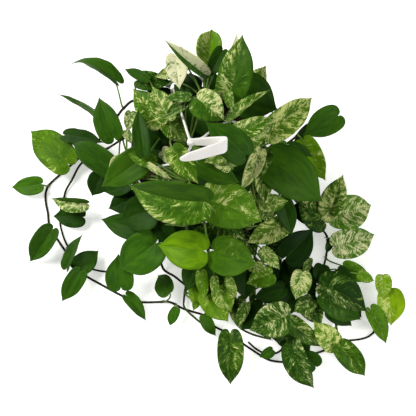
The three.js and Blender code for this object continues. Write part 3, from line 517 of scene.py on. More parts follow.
# The vine over the right side of the rim has two broad leaves with much cream.
VINES["vine_right"] = dict(stems=[[
    (104, -25, 162), (108, -28, 176), (118, -33, 188), (134, -46, 184), (146, -58, 160),
    (204, -84, 75), (240, -108, 30), (268, -135, 8), (265, -173, 4), (257, -204, 3),
    (253, -241, 3), (244, -276, 3), (238, -306, 3),
]], leaves=[
    leaf((249, -125, 97), (192, -80, 122), 59, 15, 0.18, (0.2, 0.45), 0.7),
    leaf((253, -111, 121), (279, -42, 146), 50, 15, 0.35, (0.5, 0.45), 0.75, roll=25),
    leaf((264, -108, 90), (353, -78, 55), 71, 20, 0.58, (0.5, 0.55), arch=0.08),
    leaf((277, -163, 52), (364, -132, 22), 64, 10, 0.58, (0.6, 0.6), 0.4, arch=0.08),
    leaf((268, -150, 48), (258, -177, 40), 16, 15, 0.2),
    leaf((294, -204, 42), (350, -230, 24), 36, 15, 0.62, (0.15, 0.15), 0.6),
    leaf((317, -223, 66), (348, -235, 56), 24, 15, 0.7, (0.3, 0.3), 0.9),
    leaf((278, -213, 54), (305, -240, 50), 30, 10, 0.18),
    leaf((294, -264, 20), (329, -303, 14), 40, 12, 0.35, (0.2, 0.2), 0.6),
    leaf((201, -89, 100), (240, -131, 90), 47, 10, 0.1),
    leaf((243, -208, 74), (232, -243, 72), 34, 10, 0.12),
])

# Another one goes to the front right, with three large dark leaves.
VINES["vine_lower_right"] = dict(stems=[[
    (86, -50, 162), (89, -56, 178), (98, -68, 190), (110, -80, 191), (128, -96, 174),
    (169, -133, 105), (210, -171, 50), (234, -207, 22), (256, -247, 14), (271, -277, 11),
    (277, -317, 10), (280, -343, 10),
]], leaves=[
    leaf((170, -195, 104), (221, -143, 122), 61, 12, 0.06),
    leaf((201, -225, 90), (190, -273, 64), 43, 15, 0.5, (0.6, 0.6), 0.65),
    leaf((216, -197, 88), (207, -228, 75), 18, 15, 0.35, (0.4, 0.4), 0.6),
    leaf((241, -249, 85), (330, -297, 60), 74, 20, 0.16, (0.05, 0.3), arch=0.08, roll=35),
    leaf((250, -262, 62), (324, -308, 27), 62, 12, 0.36, (0, 0.05), arch=0.08),
    leaf((200, -199, 48), (234, -267, 42), 46, 10, 0.15),
    leaf((212, -269, 28), (246, -320, 24), 48, 12, 0.2, (0.3, 0.3), 0.6),
    leaf((198, -340, 22), (211, -390, 14), 40, 10, 0.25),
    leaf((185, -218, 60), (218, -199, 56), 40, 10, 0.12),
    leaf((263, -289, 30), (307, -320, 20), 40, 10, 0.2),
    leaf((120, -125, 162), (151, -119, 152), 24, 12, 0.3, (0.3, 0.4), 0.6),
])

# A short vine leans out over the rim at the back right and stays clear of the table.
VINES["vine_back_right"] = dict(stems=[[
    (102, 12, 162), (106, 8, 176), (118, 0, 188), (134, -4, 184), (150, -2, 168),
    (168, 16, 150), (192, 41, 128), (211, 67, 112), (231, 85, 100),
]], leaves=[
    leaf((276, 82, 138), (208, 47, 118), 60, 8, 0.4),
    leaf((211, 36, 112), (258, -34, 77), 54, 15, 0.75, (0.3, 0), 0.95, roll=-20),
    leaf((228, 74, 96), (192, 42, 88), 26, 12, 0.3, (0, 0), 0.3),
    leaf((176, 8, 166), (221, -10, 154), 24, 12, 0.3),
])

# The crown's stems stand up in the pot. Four leaves of this one hang down the pot's back.
VINES["crown_back"] = dict(stems=[[
    (3, 27, 162), (4, 44, 185), (10, 70, 205), (15, 98, 215),
]], leaves=[
    leaf((-41, 154, 248), (-33, 91, 240), 43, 10, 0.6, (0.93, 0.93), 0.1),
    leaf((-41, 136, 228), (-81, 125, 222), 26, 15, 0.45, (0.6, 0.6), 0.6),
    leaf((10, 117, 254), (-60, 161, 300), 44, 54, 0.42, (0.12, 0.85), 0.15, roll=-4),
    leaf((22, 139, 232), (27, 245, 190), 68, 44, 0.68, (0.5, 0.05), 1, arch=0, roll=3),
    leaf((45, 157, 262), (15, 107, 246), 34, 15, 0.3),
    leaf((58, 71, 265), (80, 168, 305), 66, 18, 0.36, (0.44, 0.03), 0.75, arch=0.08),
    leaf((73, 121, 239), (70, 179, 289), 33, 15, 0.4, (0.9, 0.85), 0.2),
    leaf((94, 96, 225), (126, 133, 255), 43, 15, 0.35, (0.5, 0.5), 0.7),
    leaf((74, 87, 243), (148, 57, 225), 88, 10, 0.3, (0, 0), 0.7),
    leaf((30, 107, 196), (15, 153, 204), 36, 10, 0.2),
    leaf((54, 66, 278), (63, 34, 268), 20, 20, 0.5, (0.4, 0.4), 0.7),
    leaf((107, 92, 172), (132, 114, 92), 62, 14, 0.25, arch=0.1, face=(0.77, 0.64, 0.35)),
    leaf((66, 126, 178), (80, 156, 95), 66, 12, 0.3, (0.3, 0.2), 0.7, arch=0.12, face=(0.47, 0.88, 0.35)),
    leaf((10, 142, 172), (16, 172, 82), 64, 14, 0.25, arch=0.1, face=(0.1, 0.99, 0.35)),
    leaf((-50, 138, 172), (-60, 166, 84), 64, 12, 0.28, (0.2, 0.3), 0.7, arch=0.12,
         face=(-0.4, 0.9, 0.35)),
    leaf((-18, 80, 228), (-46, 110, 224), 26, 8, 0.2),
    leaf((-4, 113, 192), (-37, 144, 188), 40, 8, 0.12),
])

VINES["crown_left"] = dict(stems=[[
    (-39, 27, 162), (-49, 21, 190), (-71, 29, 205), (-93, 45, 205),
]], leaves=[
    leaf((-68, 25, 245), (-118, 89, 250), 50, 12, 0.45, (0.45, 0.4), 0.85),
    leaf((-94, -39, 258), (-106, 45, 262), 32, 20, 0.32),
    leaf((-126, 60, 205), (-131, 22, 200), 23, 15, 0.4, (0.5, 0.5)),
    leaf((-135, 27, 195), (-124, 3, 190), 17, 15, 0.4, (0.5, 0.5)),
    leaf((-95, 119, 225), (-140, 145, 215), 21, 15, 0.35),
    leaf((-113, 122, 215), (-49, 120, 212), 38, 12, 0.3, (0.05, 0.05)),
    leaf((-66, 14, 213), (-104, 57, 216), 33, 12, 0.4, (0.3, 0.3), 0.6),
    leaf((-94, 116, 168), (-108, 138, 92), 48, 15, 0.28, arch=0.1, face=(-0.6, 0.8, 0.35)),
    leaf((-59, -5, 220), (-92, 25, 224), 45, 10, 0.15),
    leaf((-71, 17, 188), (-108, -23, 184), 41, 10, 0.2),
    leaf((-58, 104, 192), (-111, 100, 192), 29, 8, 0.15),
    leaf((-74, -11, 196), (-40, -64, 192), 45, 8, 0.15),
])

VINES["crown_centre"] = dict(stems=[[
    (-6, -15, 162), (-15, -13, 190), (-21, -14, 230),
]], leaves=[
    leaf((-53, 21, 270), (-80, 82, 272), 43, 15, 0.45, (0.5, 0.55), 0.75),
    leaf((-14, 38, 322), (-56, 45, 308), 21, 25, 0.35, (0.3, 0.35), 0.4),
    leaf((-15, 42, 306), (-59, 12, 290), 24, 25, 0.35, (0.4, 0.35)),
    leaf((-13, 70, 228), (17, 2, 220), 57, 10, 0.28, (0, 0), 0.55),
    leaf((-54, 36, 242), (-17, -11, 228), 49, 12, 0.4, (0.4, 0.4), 0.8),
    leaf((-37, -62, 336), (4, -114, 316), 41, 14, 0.42, (0.2, 0.45), 0.9),
    leaf((-62, -27, 232), (-28, -48, 224), 28, 15, 0.4, (0.7, 0.65), 0.45),
    leaf((2, 34, 323), (47, 3, 303), 55, 20, 0.42, (0.68, 0.12), 0.6, arch=0.08),
    leaf((79, -60, 312), (14, -12, 335), 52, 6, 0.34),
    leaf((55, -55, 304), (12, -69, 292), 27, 15, 0.5, (0.5, 0.5), 0.8),
    leaf((50, -61, 266), (70, -67, 269), 17, 40, 0.55, (0.5, 0.6), 0.8, arch=0.1),
    leaf((5, -65, 275), (75, -94, 258), 44, 15, 0.4, (0, 0), 0.7),
    leaf((4, 38, 184), (1, -29, 189), 56, 8, 0.15),
    leaf((-15, 43, 209), (34, 1, 204), 49, 8, 0.15),
    leaf((55, -76, 292), (17, -51, 286), 28, 15, 0.4, (0.6, 0.55), 0.6),
])

VINES["crown_right"] = dict(stems=[[
    (52, -4, 162), (64, -9, 190), (87, -18, 215), (110, -23, 218),
]], leaves=[
    leaf((127, 3, 248), (213, 83, 224), 56, 20, 0.42, (0.55, 0.5), 0.85, arch=0.08, roll=-15),
    leaf((65, -24, 316), (130, 11, 302), 35, 15, 0.45, (0.45, 0.3), 0.7),
    leaf((58, 6, 306), (127, 58, 310), 32, 25, 0.35, (0.35, 0.4), 0.7, roll=45),
    leaf((132, -36, 218), (232, -104, 169), 82, 10, 0.42, (0, 0), 0.7, arch=0.08),
    leaf((110, -39, 262), (75, -105, 240), 37, 35, 0.3, (0.7, 0.65), 0.65),
    leaf((122, -39, 205), (121, -119, 197), 40, 15, 0.32, (0.45, 0.5), 0.7),
    leaf((105, -60, 196), (118, -143, 172), 29, 15, 0.4, (0.4, 0.45), 0.8),
    leaf((117, -112, 192), (168, -104, 177), 36, 15, 0.4, (0.45, 0.45), 0.8),
    leaf((156, -97, 165), (178, -161, 135), 37, 12, 0.3),
    leaf((45, -17, 216), (95, -60, 216), 59, 8, 0.2),
    leaf((85, -55, 200), (74, -117, 190), 40, 10, 0.2),
    leaf((79, 31, 201), (131, -10, 194), 49, 8, 0.15, (0.2, 0.2), 0.6),
    leaf((116, -26, 238), (94, -88, 232), 44, 8, 0.2, (0.2, 0.2), 0.6),
    leaf((89, -26, 264), (140, 26, 262), 32, 12, 0.4, (0.6, 0.6), 0.7),
    leaf((159, 8, 194), (135, -13, 190), 24, 12, 0.45, (0.3, 0.3), 0.1),
])

VINES["crown_front"] = dict(stems=[[
    (4, -35, 162), (-5, -52, 190), (-14, -75, 215), (-22, -96, 220),
]], leaves=[
    leaf((12, -130, 266), (-123, -89, 236), 84, 22, 0.42, (0.3, 0), 0.8, arch=0.08, roll=24),
    leaf((17, -120, 245), (116, -151, 205), 84, 12, 0.6, (0.4, 0.15), 0.8, arch=0.08),
    leaf((-90, -34, 230), (-179, -79, 184), 58, 12, 0.44, (0, 0), 0.8, arch=0.08),
    leaf((-84, -59, 248), (-43, -84, 243), 18, 50, 0.5, (0.8, 0.6), arch=0.1),
    leaf((-110, -60, 215), (-83, -69, 212), 15, 40, 0.5, (0.75, 0.6), 0.7),
    leaf((-116, -75, 209), (-92, -95, 204), 16, 40, 0.6, (0.85, 0.7), 0.6),
    leaf((-46, -60, 225), (-77, -94, 215), 29, 20, 0.25, (0.3, 0.3), 0.6),
    leaf((-68, -65, 212), (-35, -96, 208), 25, 20, 0.35, (0.5, 0.4), 0.6),
    leaf((15, -56, 213), (66, -105, 213), 55, 10, 0.2),
    leaf((-33, -44, 200), (-84, -66, 198), 44, 12, 0.25, (0.3, 0.3), 0.6),
    leaf((-79, -50, 242), (-125, -33, 239), 32, 30, 0.5, (0.25, 0.15), 0.8, arch=0.08),
    leaf((30, -62, 198), (-3, -118, 192), 48, 8, 0.15),
])


def draw(i, k):
    # A fixed random draw from -1 to 1: draw k of leaf i.
    s = math.sin(i * 12.9898 + k * 78.233) * 43758.5453
    return 2 * (s - math.floor(s)) - 1


def spline(points, steps):
    # A smooth line through the points: a list of places on it, the given number to each span.
    ends = [points[0] * 2 - points[1], *points, points[-1] * 2 - points[-2]]
    path = []
    for k in range(len(points) - 1):
        a, b, c, d = ends[k:k + 4]
        for j in range(steps):
            t = j / steps
            path.append(0.5 * (
                2 * b + (c - a) * t + (2 * a - 5 * b + 4 * c - d) * t * t
                + (3 * b - 3 * c + d - a) * t ** 3
            ))
    path.append(points[-1].copy())
    return path


def sampled(values, count):
    # Evenly spaced places on a smooth line through the values, one more than the count.
    points = [Vector((v, 0, 0) if isinstance(v, (int, float)) else (*v, 0)) for v in values]
    path = spline(points, 8)
    last = len(path) - 1
    found = []
    for k in range(count + 1):
        place = k / count * last
        low = min(int(place), last - 1)
        found.append(path[low].lerp(path[low + 1], place - low))
    return found


OUTLINE = sampled(HALF_OUTLINE, LEAF_ROWS)
ROOTS = [p.x for p in sampled(VEIN_ROOTS, LEAF_ROWS)]


def leaf_axes(spec):
    along = spec["tip"] - spec["base"]
    length = along.length
    along /= length
    up = (spec["face"] - along * spec["face"].dot(along)).normalized()
    side = along.cross(up)
    across = side * math.cos(spec["roll"]) + up * math.sin(spec["roll"])
    out = up * math.cos(spec["roll"]) - side * math.sin(spec["roll"])
    return length, along, across, out


def blade_point(spec, axes, i, p, q):
    length, along, across, out = axes
    bow = 4 * p * (1 - p) if p > 0 else 4 * p
    w = q * spec["width"] / 2 * (1 + UNEVEN * draw(i, 1 if q > 0 else 2))
    lift = spec["arch"] * length * bow + abs(w) * math.sin(spec["fold"])
    lift += WAVE * length * q * q * math.sin(WAVE_TURN * p + 3 * draw(i, 3 if q > 0 else 4))
    lift += FRILL * length * abs(q) ** 3 * math.sin(FRILL_TURN * p + 5 * draw(i, 6 if q > 0 else 7))
    sway = SWAY * length * draw(i, 5) * (bow if p > 0 else 0)
    aside = w * math.cos(spec["fold"]) + sway
    return spec["base"] + along * (p * length) + out * lift + across * aside


class Growth:
    # Gathers one leafy stem's surface, with each point's place and colour values.
    def __init__(self):
        self.vertices, self.faces, self.slots, self.flat = [], [], [], []
        self.place, self.tint, self.cream = [], [], []

    def point(self, position, place, tint, cream=(0, 0)):
        self.vertices.append(position * MM)
        self.place.append(place)
        self.tint.append(tint)
        self.cream.append((*cream, 0))
        return len(self.vertices) - 1

    def face(self, corners, slot, flat=False):
        if flat:
            self.flat.append(len(self.faces))
        self.faces.append(corners)
        self.slots.append(slot)

    def piece(self, name, materials):
        made = build_mesh(name, self.vertices, self.faces, materials, self.slots, self.flat)
        for label, values in (("place", self.place), ("tint", self.tint), ("cream", self.cream)):
            layer = made.data.attributes.new("leaf_" + label, "FLOAT_VECTOR", "POINT")
            layer.data.foreach_set("vector", [v for row in values for v in row])
        return made


def heading(path, k):
    return (path[min(k + 1, len(path) - 1)] - path[max(k - 1, 0)]).normalized()


def tube_rings(path, radii, sides):
    # Rings of points round a line, each turned as little as it can be from the one before.
    side = SEAM
    for k, (p, radius) in enumerate(zip(path, radii)):
        direction = heading(path, k)
        side = (side - direction * side.dot(direction)).normalized()
        other = direction.cross(side)
        turns = [2 * math.pi * j / sides for j in range(sides)]
        yield [p + side * radius * math.cos(a) + other * radius * math.sin(a) for a in turns]


def add_tube(growth, path, radii, sides, slot, tints, seed):
    rings = []
    run = 0
    for k, ring in enumerate(tube_rings(path, radii, sides)):
        run += (path[k] - path[max(k - 1, 0)]).length
        rings.append([
            growth.point(p, (run * 0.01, math.cos(2 * math.pi * j / sides), seed), tints[k])
            for j, p in enumerate(ring)
        ])
    for low, high in zip(rings, rings[1:]):
        for corners in ring_faces(low, high):
            growth.face(corners, slot)
    growth.face(rings[0][::-1], slot, True)
    growth.face(rings[-1], slot, True)


def add_blade(growth, spec, i):
    # Rows run from the midrib out along the side veins, and columns run from root to tip.
    axes = leaf_axes(spec)
    out = axes[3]
    tint = (spec["tone"], spec["warmth"], draw(i, 11))
    seed = i * 1.37
    halves = [-r for r in reversed(LEAF_COLUMNS[1:])] + LEAF_COLUMNS
    thick = BLADE / math.cos(spec["fold"]) / 2
    layers = []
    for slot, face in ((UPPER, 1), (UNDER, -1)):
        rows = []
        for k, (edge, root) in enumerate(zip(OUTLINE, ROOTS)):
            row = []
            for r in ([0] if k in (0, LEAF_ROWS) else halves):
                p = root + (edge.x - root) * abs(r) ** 1.25
                depth = thick * (THIN_EDGE + (1 - THIN_EDGE) * (1 - abs(r) ** 6))
                if face < 0 and p > 0:
                    depth += RIDGE * math.exp(-(abs(r) / RIDGE_WIDTH) ** 2) * (1 - p)
                position = blade_point(spec, axes, i, p, edge.y * r) + out * depth * face
                row.append(growth.point(position, (k / LEAF_ROWS, r, seed), tint, spec["cream"]))
            rows.append(row)
        layers.append(rows)
        for k, (low, high) in enumerate(zip(rows, rows[1:])):
            for j in range(len(halves) - 1):
                if k == 0:
                    corners = [low[0], high[j + 1], high[j]]
                elif k == LEAF_ROWS - 1:
                    corners = [low[j], low[j + 1], high[0]]
                else:
                    corners = [low[j], low[j + 1], high[j + 1], high[j]]
                growth.face(corners[::face], slot)
    rims = []
    for rows in layers:
        right = [row[-1] for row in rows]
        left = [row[0] for row in rows[1:-1]]
        rims.append(right + left[::-1])
    top, bottom = rims
    for k, a in enumerate(top):
        n = (k + 1) % len(top)
        growth.face([top[n], a, bottom[k], bottom[n]], UNDER, True)


def stalk_start(stems, target):
    # The place on the nearest stem where a leaf's stalk begins, and the stem's direction there.
    best = None
    for stem in stems:
        for a, b in zip(stem, stem[1:]):
            span = b - a
            t = max(0, min(1, (target - a).dot(span) / span.length_squared))
            point = a + span * t
            gap = (point - target).length
            if best is None or gap < best[0]:
                best = (gap, point, span.normalized(), a)
    gap, point, direction, low = best
    return point - direction * min(START_BACK * gap, (point - low).length), direction


def add_stalk(growth, spec, i, stems, stem_tone):
    axes = leaf_axes(spec)
    along, out = axes[1], axes[3]
    start, direction = stalk_start(stems, spec["base"])
    reach = (spec["base"] - start).length
    p1 = start + (Vector((0, 0, 0.5)) + direction * 0.5) * STALK_LEAVE * reach
    p3 = blade_point(spec, axes, i, 0.05, 0) - out * 0.3
    p2 = p3 - along * STALK_BEHIND * reach - out * STALK_UNDER * reach
    if spec["face"] is not SKYWARD:
        p2 = p3 - along * 0.5 * reach
    path, radii, tints = [], [], []
    tone = 0.35 * spec["tone"] + 0.25
    for k in range(STALK_STEPS + 1):
        t = k / STALK_STEPS
        u = 1 - t
        path.append(start * u ** 3 + p1 * 3 * u * u * t + p2 * 3 * u * t * t + p3 * t ** 3)
        knee = 1 + 0.28 * math.exp(-((t - 0.9) / 0.05) ** 2)
        sheath = 1 + 0.35 * math.exp(-(t / 0.12) ** 2)
        end = 0.45 if k == STALK_STEPS else 1
        radii.append(STALK_RADIUS * (1 - STALK_TAPER * t) * knee * sheath * end)
        tints.append((tone, max(0, 1 - 5 * t) * (1 - stem_tone), 0))
    add_tube(growth, path, radii, STALK_SIDES, STALK, tints, i)
    return start


def add_stem(growth, stem, radius, rooted, starts, stem_tone, seed):
    points = ([Vector((stem[0].x, stem[0].y, ROOT_END))] if rooted else []) + stem
    path = spline(points, STEM_STEPS)
    count = len(path) - 1
    radii, tints = [], []
    for k, p in enumerate(path):
        size = radius + (STEM_TIP_RADIUS - radius) * k / count
        for start in starts:
            size *= 1 + JOINT_SWELL * math.exp(-((p - start).length / JOINT_LENGTH) ** 2)
        radii.append(size)
        if p.z < NEAR_TABLE:
            p.z = max(p.z, size + 0.25)
        tints.append((stem_tone, k / count, 0))
    add_tube(growth, path, radii, STEM_SIDES, STEM, tints, seed)


def add_root_nubs(growth, start, direction, i):
    # Short stubs of aerial roots beside the leaf stalks, low on a trailing stem.
    side = direction.cross(Vector((0, 0, 1))).normalized()
    for k, lean in enumerate((1, -1)):
        if draw(i, 20 + k) < -0.2:
            continue
        reach = 5 + 2.5 * draw(i, 22 + k)
        end = start + side * lean * reach + Vector((0, 0, -0.3 * reach)) + direction * 2
        end.z = max(end.z, 0.9)
        middle = start.lerp(end, 0.55) + Vector((0, 0, 0.6))
        add_tube(growth, [start, middle, end], NUB_RADII, NUB_SIDES, STEM, [(0, 1, 0)] * 3, i)


def split(tree, vector):
    return add_node(tree, "ShaderNodeSeparateXYZ", {0: vector}).outputs


def multiply_colour(tree, first, second):
    inputs = {"Fac": 1.0, "Color1": first, "Color2": second}
    return add_node(tree, "ShaderNodeMixRGB", inputs, blend_type="MULTIPLY").outputs[0]


def marble_group():
    # Streaks of cream that follow the side veins. Place holds the way along the leaf's edge from
    # root to tip, the way out from the midrib (negative on the left) and a number of the leaf's own.
    tree, given, made = open_group(
        "marble_streaks",
        [(label, "NodeSocketVector", None) for label in ("Place", "Tint", "Cream Share")],
        [("Color", "NodeSocketColor"), ("Cream", "NodeSocketFloat"), ("Height", "NodeSocketFloat")],
    )
    place = split(tree, given["Place"])
    tint = split(tree, given["Tint"])
    share = split(tree, given["Cream Share"])
    right = calc(tree, "GREATER_THAN", place[1], 0)
    out = calc(tree, "ABSOLUTE", place[1])
    own = calc(tree, "MULTIPLY_ADD", right, 4.7, place[2])

    def streak(lengthwise, outward, detail, shift, along=place[0]):
        vector = add_node(tree, "ShaderNodeCombineXYZ", {
            0: calc(tree, "MULTIPLY", along, lengthwise),
            1: calc(tree, "MULTIPLY", out, outward),
            2: calc(tree, "MULTIPLY_ADD", own, 3.3, shift),
        }).outputs[0]
        return add_node(tree, "ShaderNodeTexNoise", {
            "Vector": vector, "Scale": 1, "Detail": detail, "Roughness": 0.62, "Distortion": 0.35,
        }).outputs[0]

    wander = calc(tree, "MULTIPLY_ADD", streak(7, 3.5, 2, 31), 0.1, place[0])
    patch = streak(4, 1.7, 2, 0)
    broad = streak(22, 1.4, 2, 5, wander)
    fine = streak(74, 1.9, 4, 11, wander)
    value = 0
    for mask, weight in ((patch, 0.26), (broad, 0.28), (fine, 0.46)):
        value = calc(tree, "MULTIPLY_ADD", mask, weight, value)
    value = calc(tree, "MULTIPLY_ADD", calc(tree, "SUBTRACT", value, 0.5), 7.5, 0.5)

    # The more cream a half has, the lower the limit that turns a streak pale and then cream.
    amount = calc(tree, "MULTIPLY_ADD", right, calc(tree, "SUBTRACT", share[1], share[0]), share[0])
    limit = calc(tree, "MULTIPLY_ADD", amount, -1.7, 1.35)
    some = fade(tree, amount, 0.0, 0.03)
    over = calc(tree, "SUBTRACT", value, limit)
    cream = calc(tree, "MULTIPLY", fade(tree, over, -0.05, 0.5), some)
    pale = calc(tree, "MULTIPLY", fade(tree, over, -0.7, 0.05), some)

    # The green of the leaf's tone, a little cloudy and warmer or cooler from leaf to leaf.
    # The ramp's darkest stops are painted shade: near-black for leaves in the shaded depths of the
    # foliage.
    greens_and_shade = [
        (0, (0.003, 0.015, 0.001, 1)), (0.25, (0.012, 0.045, 0.003, 1)),
        (0.5, (0.035, 0.118, 0.005, 1)), (0.7, (0.063, 0.19, 0.005, 1)),
        (0.85, (0.11, 0.275, 0.004, 1)), (1, (0.19, 0.36, 0.006, 1)),
    ]
    cloud = fade(tree, streak(5, 3, 3, 23), 0.3, 0.7)
    clouded = blend_colour(tree, cloud, (0.7, 0.74, 0.8, 1), (1.3, 1.22, 1.1, 1))
    warmed = blend_colour(tree, tint[1], (0.85, 0.98, 1.6, 1), (1.3, 1.03, 0.9, 1))
    green = multiply_colour(tree, colour_ramp(tree, tint[0], greens_and_shade), clouded)
    green = multiply_colour(tree, green, warmed)
    cream_colour = blend_colour(tree, tint[1], (0.73, 0.71, 0.46, 1), (0.49, 0.56, 0.14, 1))
    lime = blend_colour(tree, tint[1], (0.12, 0.24, 0.05, 1), (0.15, 0.3, 0.015, 1))
    pale_colour = blend_colour(tree, 0.6, green, lime)
    colour = blend_colour(tree, calc(tree, "MULTIPLY", pale, 0.8), green, pale_colour)
    colour = blend_colour(tree, cream, colour, cream_colour)

    # The midrib shows lighter, and the side veins are shallow grooves.
    midrib = calc(tree, "SUBTRACT", 1, fade(tree, out, 0.01, 0.04))
    midrib = calc(tree, "MULTIPLY", midrib, calc(tree, "MULTIPLY_ADD", place[0], -0.5, 0.6))
    colour = blend_colour(tree, calc(tree, "MULTIPLY", midrib, 0.5), colour, (0.1, 0.22, 0.02, 1))
    count = calc(tree, "MULTIPLY", place[0], 13)
    wave = calc(tree, "ABSOLUTE", calc(tree, "SUBTRACT", calc(tree, "FRACT", count), 0.5))
    groove = calc(tree, "MULTIPLY", calc(tree, "SUBTRACT", 1, fade(tree, wave, 0.0, 0.3)), 0.16)
    tree.links.new(colour, made["Color"])
    tree.links.new(cream, made["Cream"])
    height = calc(tree, "SUBTRACT", calc(tree, "MULTIPLY", broad, 0.3), groove)
    height = calc(tree, "SUBTRACT", height, midrib)
    tree.links.new(height, made["Height"])
    return tree


MARBLE = marble_group()


def stored(tree, label):
    return add_node(tree, "ShaderNodeAttribute", attribute_name="leaf_" + label).outputs["Vector"]


def blade_material(name, under):
    material, tree, shader = new_material(
        name, Specular_IOR_Level=0.04, Subsurface_Weight=0.05, Subsurface_Scale=0.0012,
        Subsurface_Radius=(0.4, 1.0, 0.15),
    )
    labels = {"Place": "place", "Tint": "tint", "Cream Share": "cream"}
    inputs = {key: stored(tree, label) for key, label in labels.items()}
    group = add_node(tree, "ShaderNodeGroup", inputs, node_tree=MARBLE)
    colour = group.outputs["Color"]
    if under:
        colour = blend_colour(tree, 0.3, colour, (0.12, 0.2, 0.07, 1))
    tree.links.new(colour, shader.inputs["Base Color"])
    dull = 0.55 if under else 0.4
    rough = calc(tree, "MULTIPLY_ADD", group.outputs["Cream"], 0.12, dull)
    tree.links.new(rough, shader.inputs["Roughness"])
    add_bump(tree, shader, 0.45, 0.0009, group.outputs["Height"], invert=under)
    return material


def stalk_material():
    material, tree, shader = new_material("leaf_stalk", Roughness=0.45, Specular_IOR_Level=0.1)
    tint = split(tree, stored(tree, "tint"))
    lines = noise_at(tree, stored(tree, "place"), 3, 3)
    green = blend_colour(tree, tint[0], (0.02, 0.05, 0.006, 1), (0.2, 0.38, 0.05, 1))
    streaked = blend_colour(tree, fade(tree, lines, 0.4, 0.7), green, (0.22, 0.32, 0.08, 1))
    colour = blend_colour(tree, 0.4, green, streaked)
    colour = blend_colour(tree, tint[1], colour, (0.03, 0.025, 0.012, 1))
    tree.links.new(colour, shader.inputs["Base Color"])
    add_bump(tree, shader, 0.3, 0.0005, lines)
    return material


def stem_material():
    material, tree, shader = new_material("vine_stem", Roughness=0.6, Specular_IOR_Level=0.03)
    tint = split(tree, stored(tree, "tint"))
    place = stored(tree, "place")
    bark = noise_at(tree, place, 6, 5)
    scars = noise_at(tree, place, 1.2, 2)
    ridges = fade(tree, bark, 0.35, 0.7)
    woody = blend_colour(tree, ridges, (0.005, 0.004, 0.003, 1), (0.03, 0.022, 0.012, 1))
    green = blend_colour(tree, bark, (0.02, 0.045, 0.008, 1), (0.09, 0.16, 0.03, 1))
    young = calc(tree, "MULTIPLY", tint[0], fade(tree, scars, 0.25, 0.6))
    tree.links.new(blend_colour(tree, young, woody, green), shader.inputs["Base Color"])
    add_bump(tree, shader, 0.5, 0.0008, bark)
    return material


GROWTH_MATERIALS = [
    blade_material("leaf_upper", False), blade_material("leaf_under", True),
    stalk_material(), stem_material(),
]
for order, (name, vine) in enumerate(VINES.items()):
    growth = Growth()
    crown = name.startswith("crown")
    stem_tone = FRESH_TONE if crown or name in FRESH_STEMS else WOODY_TONE
    stems = [[Vector(p) for p in stem] for stem in vine["stems"]]
    starts = []
    for k, spec in enumerate(vine["leaves"]):
        number = 1 + order * LEAF_NUMBERS + k
        add_blade(growth, spec, number)
        starts.append(add_stalk(growth, spec, number, stems, stem_tone))
        if not crown and starts[-1].z < NUBS_BELOW:
            add_root_nubs(growth, starts[-1], stalk_start(stems, spec["base"])[1], number)
    radius = CROWN_RADIUS if crown else STEM_RADIUS
    for k, stem in enumerate(stems):
        add_stem(growth, stem, radius, k == 0, starts, stem_tone, number)
    spray = growth.piece(name + "_growth", GROWTH_MATERIALS)
    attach(spray, "root")
    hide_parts(name)

# Hanger: one white plastic moulding of a flat strap hook on a small hub, with three round
# strands. Each strand ends in a clip that snaps over the pot's rim.
HUB = Vector((-9, -53, 350))
HUB_FOOT = HUB + Vector((0, -1, -6))
HUB_RISE = Vector((0, 2, 9))
# The hub's radius at shares of its rise.
HUB_RADII = {0: 4.8, 0.06: 5.6, 0.2: 6, 0.8: 6, 0.94: 5.6, 1: 4.6}
HUB_SIDES = 24
HOOK_PATH = [
    (-9, -53, 350, 11), (0, -53, 351, 12), (17, -53, 352, 15), (30, -54, 354, 17),
    (40, -56, 358, 19), (47, -60, 365, 21), (48, -65, 370, 21), (44, -71, 375, 21),
    (35, -75, 379, 21), (23, -80, 382, 20), (5, -87, 385, 18), (-9, -91, 387, 15),
    (-17, -94, 388, 11), (-22, -95, 388, 7), (-24.5, -95.5, 388, 3),
]
HOOK_ACROSS = Vector((0, 0.68, 0.733)).normalized()
STRAP_THICK = 3.6
STRAP_CORNER = 1.2
STRAND_RADIUS = 2.1
STRAND_SIDES = 12
STRAND_START = 8.2
STRAND_RISE = 8
CLIP_WALL = 2.6
CLIP_GAP = 1.1
CLIP_WIDTH = 12
CLIP_DROP = 7
STRANDS = {
    "hanger_strand_back": (112, [(-18, -15, 313), (-32, 50, 250)]),
    "hanger_strand_right": (352, [
        (10, -38, 330), (26, -20, 316), (48, 1, 298), (61, 10, 284), (78, 10, 262), (112, -8, 215),
    ]),
    "hanger_strand_front": (208, [
        (-12, -56, 322), (-34, -62, 272), (-50, -56, 246), (-66, -52, 224), (-90, -54, 204),
    ]),
}
white_plastic = plastic_material(
    "white_hanger_plastic", (0.83, 0.81, 0.77, 1), (0.62, 0.58, 0.5, 1), 0.25, 0.28, 0.00008
)


def strap_mesh():
    # A flat strap with rounded edges. Each point of its path also holds the strap's width there.
    points = spline([Vector(row[:3]) for row in HOOK_PATH], 4)
    widths = [p.x for p in spline([Vector((row[3], 0, 0)) for row in HOOK_PATH], 4)]
    vertices, faces, rings = [], [], []
    for k, (p, width) in enumerate(zip(points, widths)):
        thin = heading(points, k).cross(HOOK_ACROSS).normalized()
        start = len(vertices)
        for right, up, turn in ((1, 1, 0), (-1, 1, 90), (-1, -1, 180), (1, -1, 270)):
            for j in range(4):
                a = math.radians(30 * j + turn)
                x = right * (width / 2 - STRAP_CORNER) + STRAP_CORNER * math.cos(a)
                y = up * (STRAP_THICK / 2 - STRAP_CORNER) + STRAP_CORNER * math.sin(a)
                vertices.append((p + HOOK_ACROSS * x + thin * y) * MM)
        rings.append(range(start, len(vertices)))
    for low, high in zip(rings, rings[1:]):
        for j in range(len(low)):
            n = (j + 1) % len(low)
            faces.append([low[j], high[j], high[n], low[n]])
    faces.append(list(rings[0]))
    faces.append(list(rings[-1])[::-1])
    return vertices, faces


